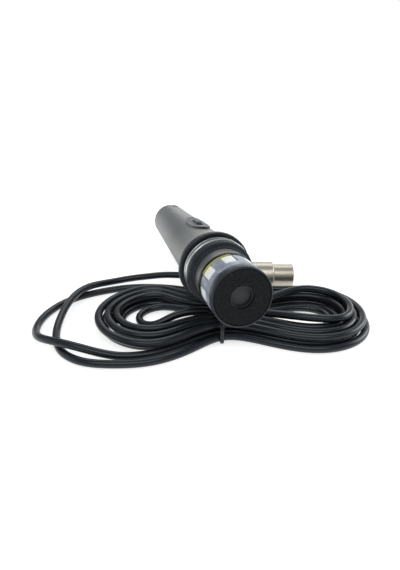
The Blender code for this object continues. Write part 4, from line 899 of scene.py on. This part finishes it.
def make_tie():
    """Rounded strap round the waist with its head at the back."""
    front = -(WAIST_FRONT + WAIST_STEP + CORD_D / 2 + 0.9)
    back = WAIST_BACK - WAIST_STEP / 2 + CORD_D / 2 + 0.9
    high = FLOOR_Z + WAIST_LIFT + LAYER + 2.3 + 0.3
    low = 1.0
    outline = [(front, low), (back, low), (back, high), (front, high)]
    bm = bmesh.new()
    face = bm.faces.new([bm.verts.new((-1.1 * MM, y * MM, z * MM)) for y, z in outline])
    bmesh.ops.bevel(bm, geom=face.verts[:], offset=2.6 * MM, offset_type="OFFSET", segments=8,
                    profile=0.5, affect="VERTICES", material=-1)
    bmesh.ops.delete(bm, geom=bm.faces[:], context="FACES_ONLY")
    grown = bmesh.ops.extrude_edge_only(bm, edges=bm.edges[:])
    verts = [g for g in grown["geom"] if isinstance(g, bmesh.types.BMVert)]
    bmesh.ops.translate(bm, vec=(2.2 * MM, 0.0, 0.0), verts=verts)
    bmesh.ops.recalc_face_normals(bm, faces=bm.faces[:])
    bmesh.ops.solidify(bm, geom=bm.faces[:], thickness=-1.0 * MM)
    bmesh.ops.recalc_face_normals(bm, faces=bm.faces[:])
    edges = [e for e in bm.edges if len(e.link_faces) == 2 and e.calc_face_angle() > 1.2]
    bmesh.ops.bevel(bm, geom=edges, offset=0.42 * MM, offset_type="OFFSET", segments=4, profile=0.5,
                    affect="EDGES", material=-1)
    strap = piece("tie_strap", bm, TIE_BLACK, COIL, "cable_set", "black_plastic", "cable_tie")
    middle = (low + high) / 2
    head = piece("tie_lock", boxed((-2.2, back + 1.3, middle - 1.8), (2.2, back + 4.7, middle + 1.8), 0.4),
                 TIE_BLACK, COIL, "cable_set", "black_plastic", "tie_head")
    return [strap, head]


def make_plug():
    """Three-hole connector: shell, insert, contacts, latch and boot."""
    turn = PLUG @ Matrix.Rotation(LATCH_ROLL, 4, "Y")
    shell = piece("connector_shell", spun([
        (0.0, 6.9, 0.2), (0.0, 7.8, 0.35), (13.6, 7.8, 0.1), (14.4, 9.5, 0.3), (30.0, 9.5, 0.1), (30.2, 9.3, 0.1),
        (31.0, 9.3, 0.1), (31.2, 9.5, 0.1), (43.0, 9.5, 0.5), (43.0, 8.0), (22.0, 8.0), (22.0, 6.9)], 128),
        NICKEL, PLUG, "cable_set", "nickel", "plug_shell")
    carve(shell, [(boxed((-2.3, 4.2, 4.3), (2.3, 23.3, 10.5), 0.4), turn)])
    insert = piece("connector_insert", spun([
        (0.8, 0.0), (0.8, 6.6, 0.3), (21.0, 6.6), (21.0, 0.0)], 96),
        BLACK, PLUG, "cable_set", "black_plastic", "plug_insert")
    cutters = [(boxed((-2.3, -1.0, 3.1), (2.3, 22.0, 6.9)), turn)]
    for k in range(3):
        angle = LATCH_ROLL + math.pi + (k - 1) * math.radians(100.0)
        place = PLUG @ Matrix.Translation((3.8 * MM * math.sin(angle), 0.0, 3.8 * MM * math.cos(angle)))
        cutters.append((spun([(0.0, 0.0), (0.0, 2.0), (22.0, 2.0), (22.0, 0.0)], 32), place))
        piece("connector_contact_%d" % (k + 1), spun([
            (1.4, 1.25, 0.1), (1.4, 1.7, 0.15), (25.0, 1.7), (25.0, 0.0), (11.4, 0.0), (11.4, 1.25)], 32),
            BRASS, place, "cable_set", "contact_brass", "plug_contact_%d" % (k + 1))
    carve(insert, cutters)
    latch = [(4.5, 5.3), (4.5, 6.6), (6.5, 6.6), (7.5, 7.5), (11.4, 9.0), (12.2, 9.0), (12.5, 6.6),
             (16.5, 6.6), (16.5, 9.3), (22.2, 9.3), (23.0, 8.5), (23.0, 6.6), (27.5, 6.6), (27.5, 5.3)]
    piece("connector_latch", prism(latch, -2.0, 2.0, 0.12), STEEL, turn, "latch", "grey_metal", "plug_latch")
    boot = [(43.3, 2.65), (43.3, 7.4, 0.3), (46.3, 7.4, 0.5), (47.8, 5.0, 0.4)]
    ribs = 6
    for k in range(ribs):
        start = 50.2 + 3.3 * k
        radius = 5.0 - (start - 47.8) * 1.8 / 24.8
        boot += [(start, radius, 0.15), (start + 0.4, radius - 0.5, 0.15), (start + 1.2, radius - 0.5, 0.15),
                 (start + 1.6, radius - 0.1, 0.15)]
    boot += [(72.6, 3.2, 0.3), (72.6, 2.65)]
    piece("connector_boot", spun(boot, 64), RUBBER, PLUG, "cable_set", "soft_rubber", "plug_boot")


def make_jack():
    """Phone plug at the cable's other end."""
    boot = [(0.0, 2.65), (0.0, 3.6, 0.4)]
    ribs = 4
    for k in range(ribs):
        start = 2.0 + 2.8 * k
        radius = 3.6 + start * 2.0 / 14.0
        boot += [(start, radius, 0.12), (start + 0.3, radius - 0.45, 0.12), (start + 1.1, radius - 0.4, 0.12),
                 (start + 1.4, radius + 0.15, 0.12)]
    boot += [(14.0, 5.6, 0.3), (14.0, 2.65)]
    made = [piece("phone_boot", spun(boot, 64), RUBBER, JACK, "cable_set", "soft_rubber", "jack_boot")]
    barrel = [(14.3, 2.65), (14.3, 7.0, 0.6)]
    for k in range(9):
        start = 17.0 + 1.2 * k
        barrel += [(start, 7.0, 0.05), (start + 0.25, 6.75, 0.05), (start + 0.55, 6.75, 0.05), (start + 0.8, 7.0, 0.05)]
    barrel += [(44.3, 7.0, 0.6), (44.3, 3.475), (41.3, 3.475), (41.3, 5.0), (16.3, 5.0), (16.3, 2.65)]
    made.append(piece("phone_barrel", spun(barrel, 96), JACK_NICKEL, JACK, "cable_set", "nickel", "jack_barrel"))
    made.append(piece("phone_shank", spun([
        (36.0, 2.5), (36.0, 4.6), (41.0, 4.6), (41.0, 3.175), (64.3, 3.175, 0.2), (64.3, 2.5)], 64),
        JACK_NICKEL, JACK, "cable_set", "nickel", "jack_shank"))
    made.append(piece("phone_insulator", spun([
        (64.6, 2.5), (64.6, 3.175), (65.6, 3.175), (65.6, 2.5)], 64),
        BLACK, JACK, "cable_set", "black_plastic", "jack_insulator"))
    made.append(piece("phone_tip", spun([
        (36.0, 0.0), (36.0, 2.2), (65.9, 2.2), (65.9, 3.175, 0.3), (67.7, 3.175, 0.8), (69.5, 2.2, 0.9),
        (71.48, 3.175, 1.0), (74.1, 1.1, 0.8), (74.9, 0.0)], 64),
        JACK_NICKEL, JACK, "cable_set", "nickel", "jack_tip"))
    return made


def dress_inner_nodes():
    """Finishes of the solids that stay as they are, inside the part."""
    finishes = {
        STEEL: ("yoke", "magnet", "pole_piece"),
        BLACK: ("basket", "switch_body", "plug_collet"),
        FILM: ("diaphragm",),
        COPPER: ("voice_coil", "lead_wire_1", "lead_wire_2", "lead_wire_3"),
        BOARD: ("terminal_board",),
    }
    for material, names in finishes.items():
        for name in names:
            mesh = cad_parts[name].data
            mesh.materials.clear()
            mesh.materials.append(material)


# Stage
def make_floor():
    """Round sheet of white paper that keeps the shadows."""
    bm = bmesh.new()
    bmesh.ops.create_circle(bm, cap_ends=True, segments=96, radius=0.95)
    bmesh.ops.translate(bm, vec=(0.0, 0.0, -0.0002), verts=bm.verts[:])
    mesh = bpy.data.meshes.new("floor")
    bm.to_mesh(mesh)
    bm.free()
    floor = bpy.data.objects.new("floor", mesh)
    bpy.context.scene.collection.objects.link(floor)
    paper = Finish("floor_paper", (0.55, 0.55, 0.55), 0.9)
    paper.set("Specular IOR Level", 0.0)
    paper.set("Emission Color", (1.0, 1.0, 1.0, 1.0))
    paper.set("Emission Strength", 0.72)
    mesh.materials.append(paper.material)


def make_surround():
    """Dim light from all round, plain white where the camera sees it."""
    world = bpy.data.worlds.new("surround")
    bpy.context.scene.world = world
    world.use_nodes = True
    tree = world.node_tree
    shade = tree.nodes["Background"]
    shade.inputs["Color"].default_value = (0.9, 0.95, 1.0, 1.0)
    shade.inputs["Strength"].default_value = 0.36
    white = tree.nodes.new("ShaderNodeBackground")
    white.inputs["Color"].default_value = (1.0, 1.0, 1.0, 1.0)
    path = tree.nodes.new("ShaderNodeLightPath")
    seen = tree.nodes.new("ShaderNodeMath")
    seen.operation = "MAXIMUM"
    tree.links.new(path.outputs["Is Camera Ray"], seen.inputs[0])
    tree.links.new(path.outputs["Is Transmission Ray"], seen.inputs[1])
    mix = tree.nodes.new("ShaderNodeMixShader")
    tree.links.new(seen.outputs["Value"], mix.inputs[0])
    tree.links.new(shade.outputs[0], mix.inputs[1])
    tree.links.new(white.outputs[0], mix.inputs[2])
    tree.links.new(mix.outputs[0], tree.nodes["World Output"].inputs["Surface"])


def make_lamps():
    """Five large soft lamps."""
    lamps = [
        ("front_lamp", (-0.2, -0.6, 0.85), (1.1, 0.5), 4.4),
        ("top_lamp", (0.2, 0.62, 0.8), (1.0, 0.5), 3.2),
        ("back_lamp", (0.6, 0.85, 0.18), (1.2, 0.3), 1.7),
        ("left_lamp", (-0.95, 0.1, 0.35), (0.6, 0.5), 0.7),
        ("right_lamp", (0.95, 0.0, 0.4), (0.7, 0.5), 5.4)]
    for name, place, size, power in lamps:
        data = bpy.data.lights.new(name, "AREA")
        data.shape = "RECTANGLE"
        data.size, data.size_y = size
        data.energy = power
        lamp = bpy.data.objects.new(name, data)
        lamp.location = place
        aim = Vector((0.0, 0.02, 0.02)) - Vector(place)
        lamp.rotation_euler = aim.to_track_quat("-Z", "Y").to_euler()
        bpy.context.scene.collection.objects.link(lamp)


make_camera()
cable, cable_length, cable_start = make_cable()
make_cartridge()
make_head()
make_handle()
tie_pieces = make_tie()
make_plug()
jack_pieces = make_jack()
dress_inner_nodes()
make_floor()
make_surround()
make_lamps()
bpy.context.scene.view_settings.view_transform = "Standard"
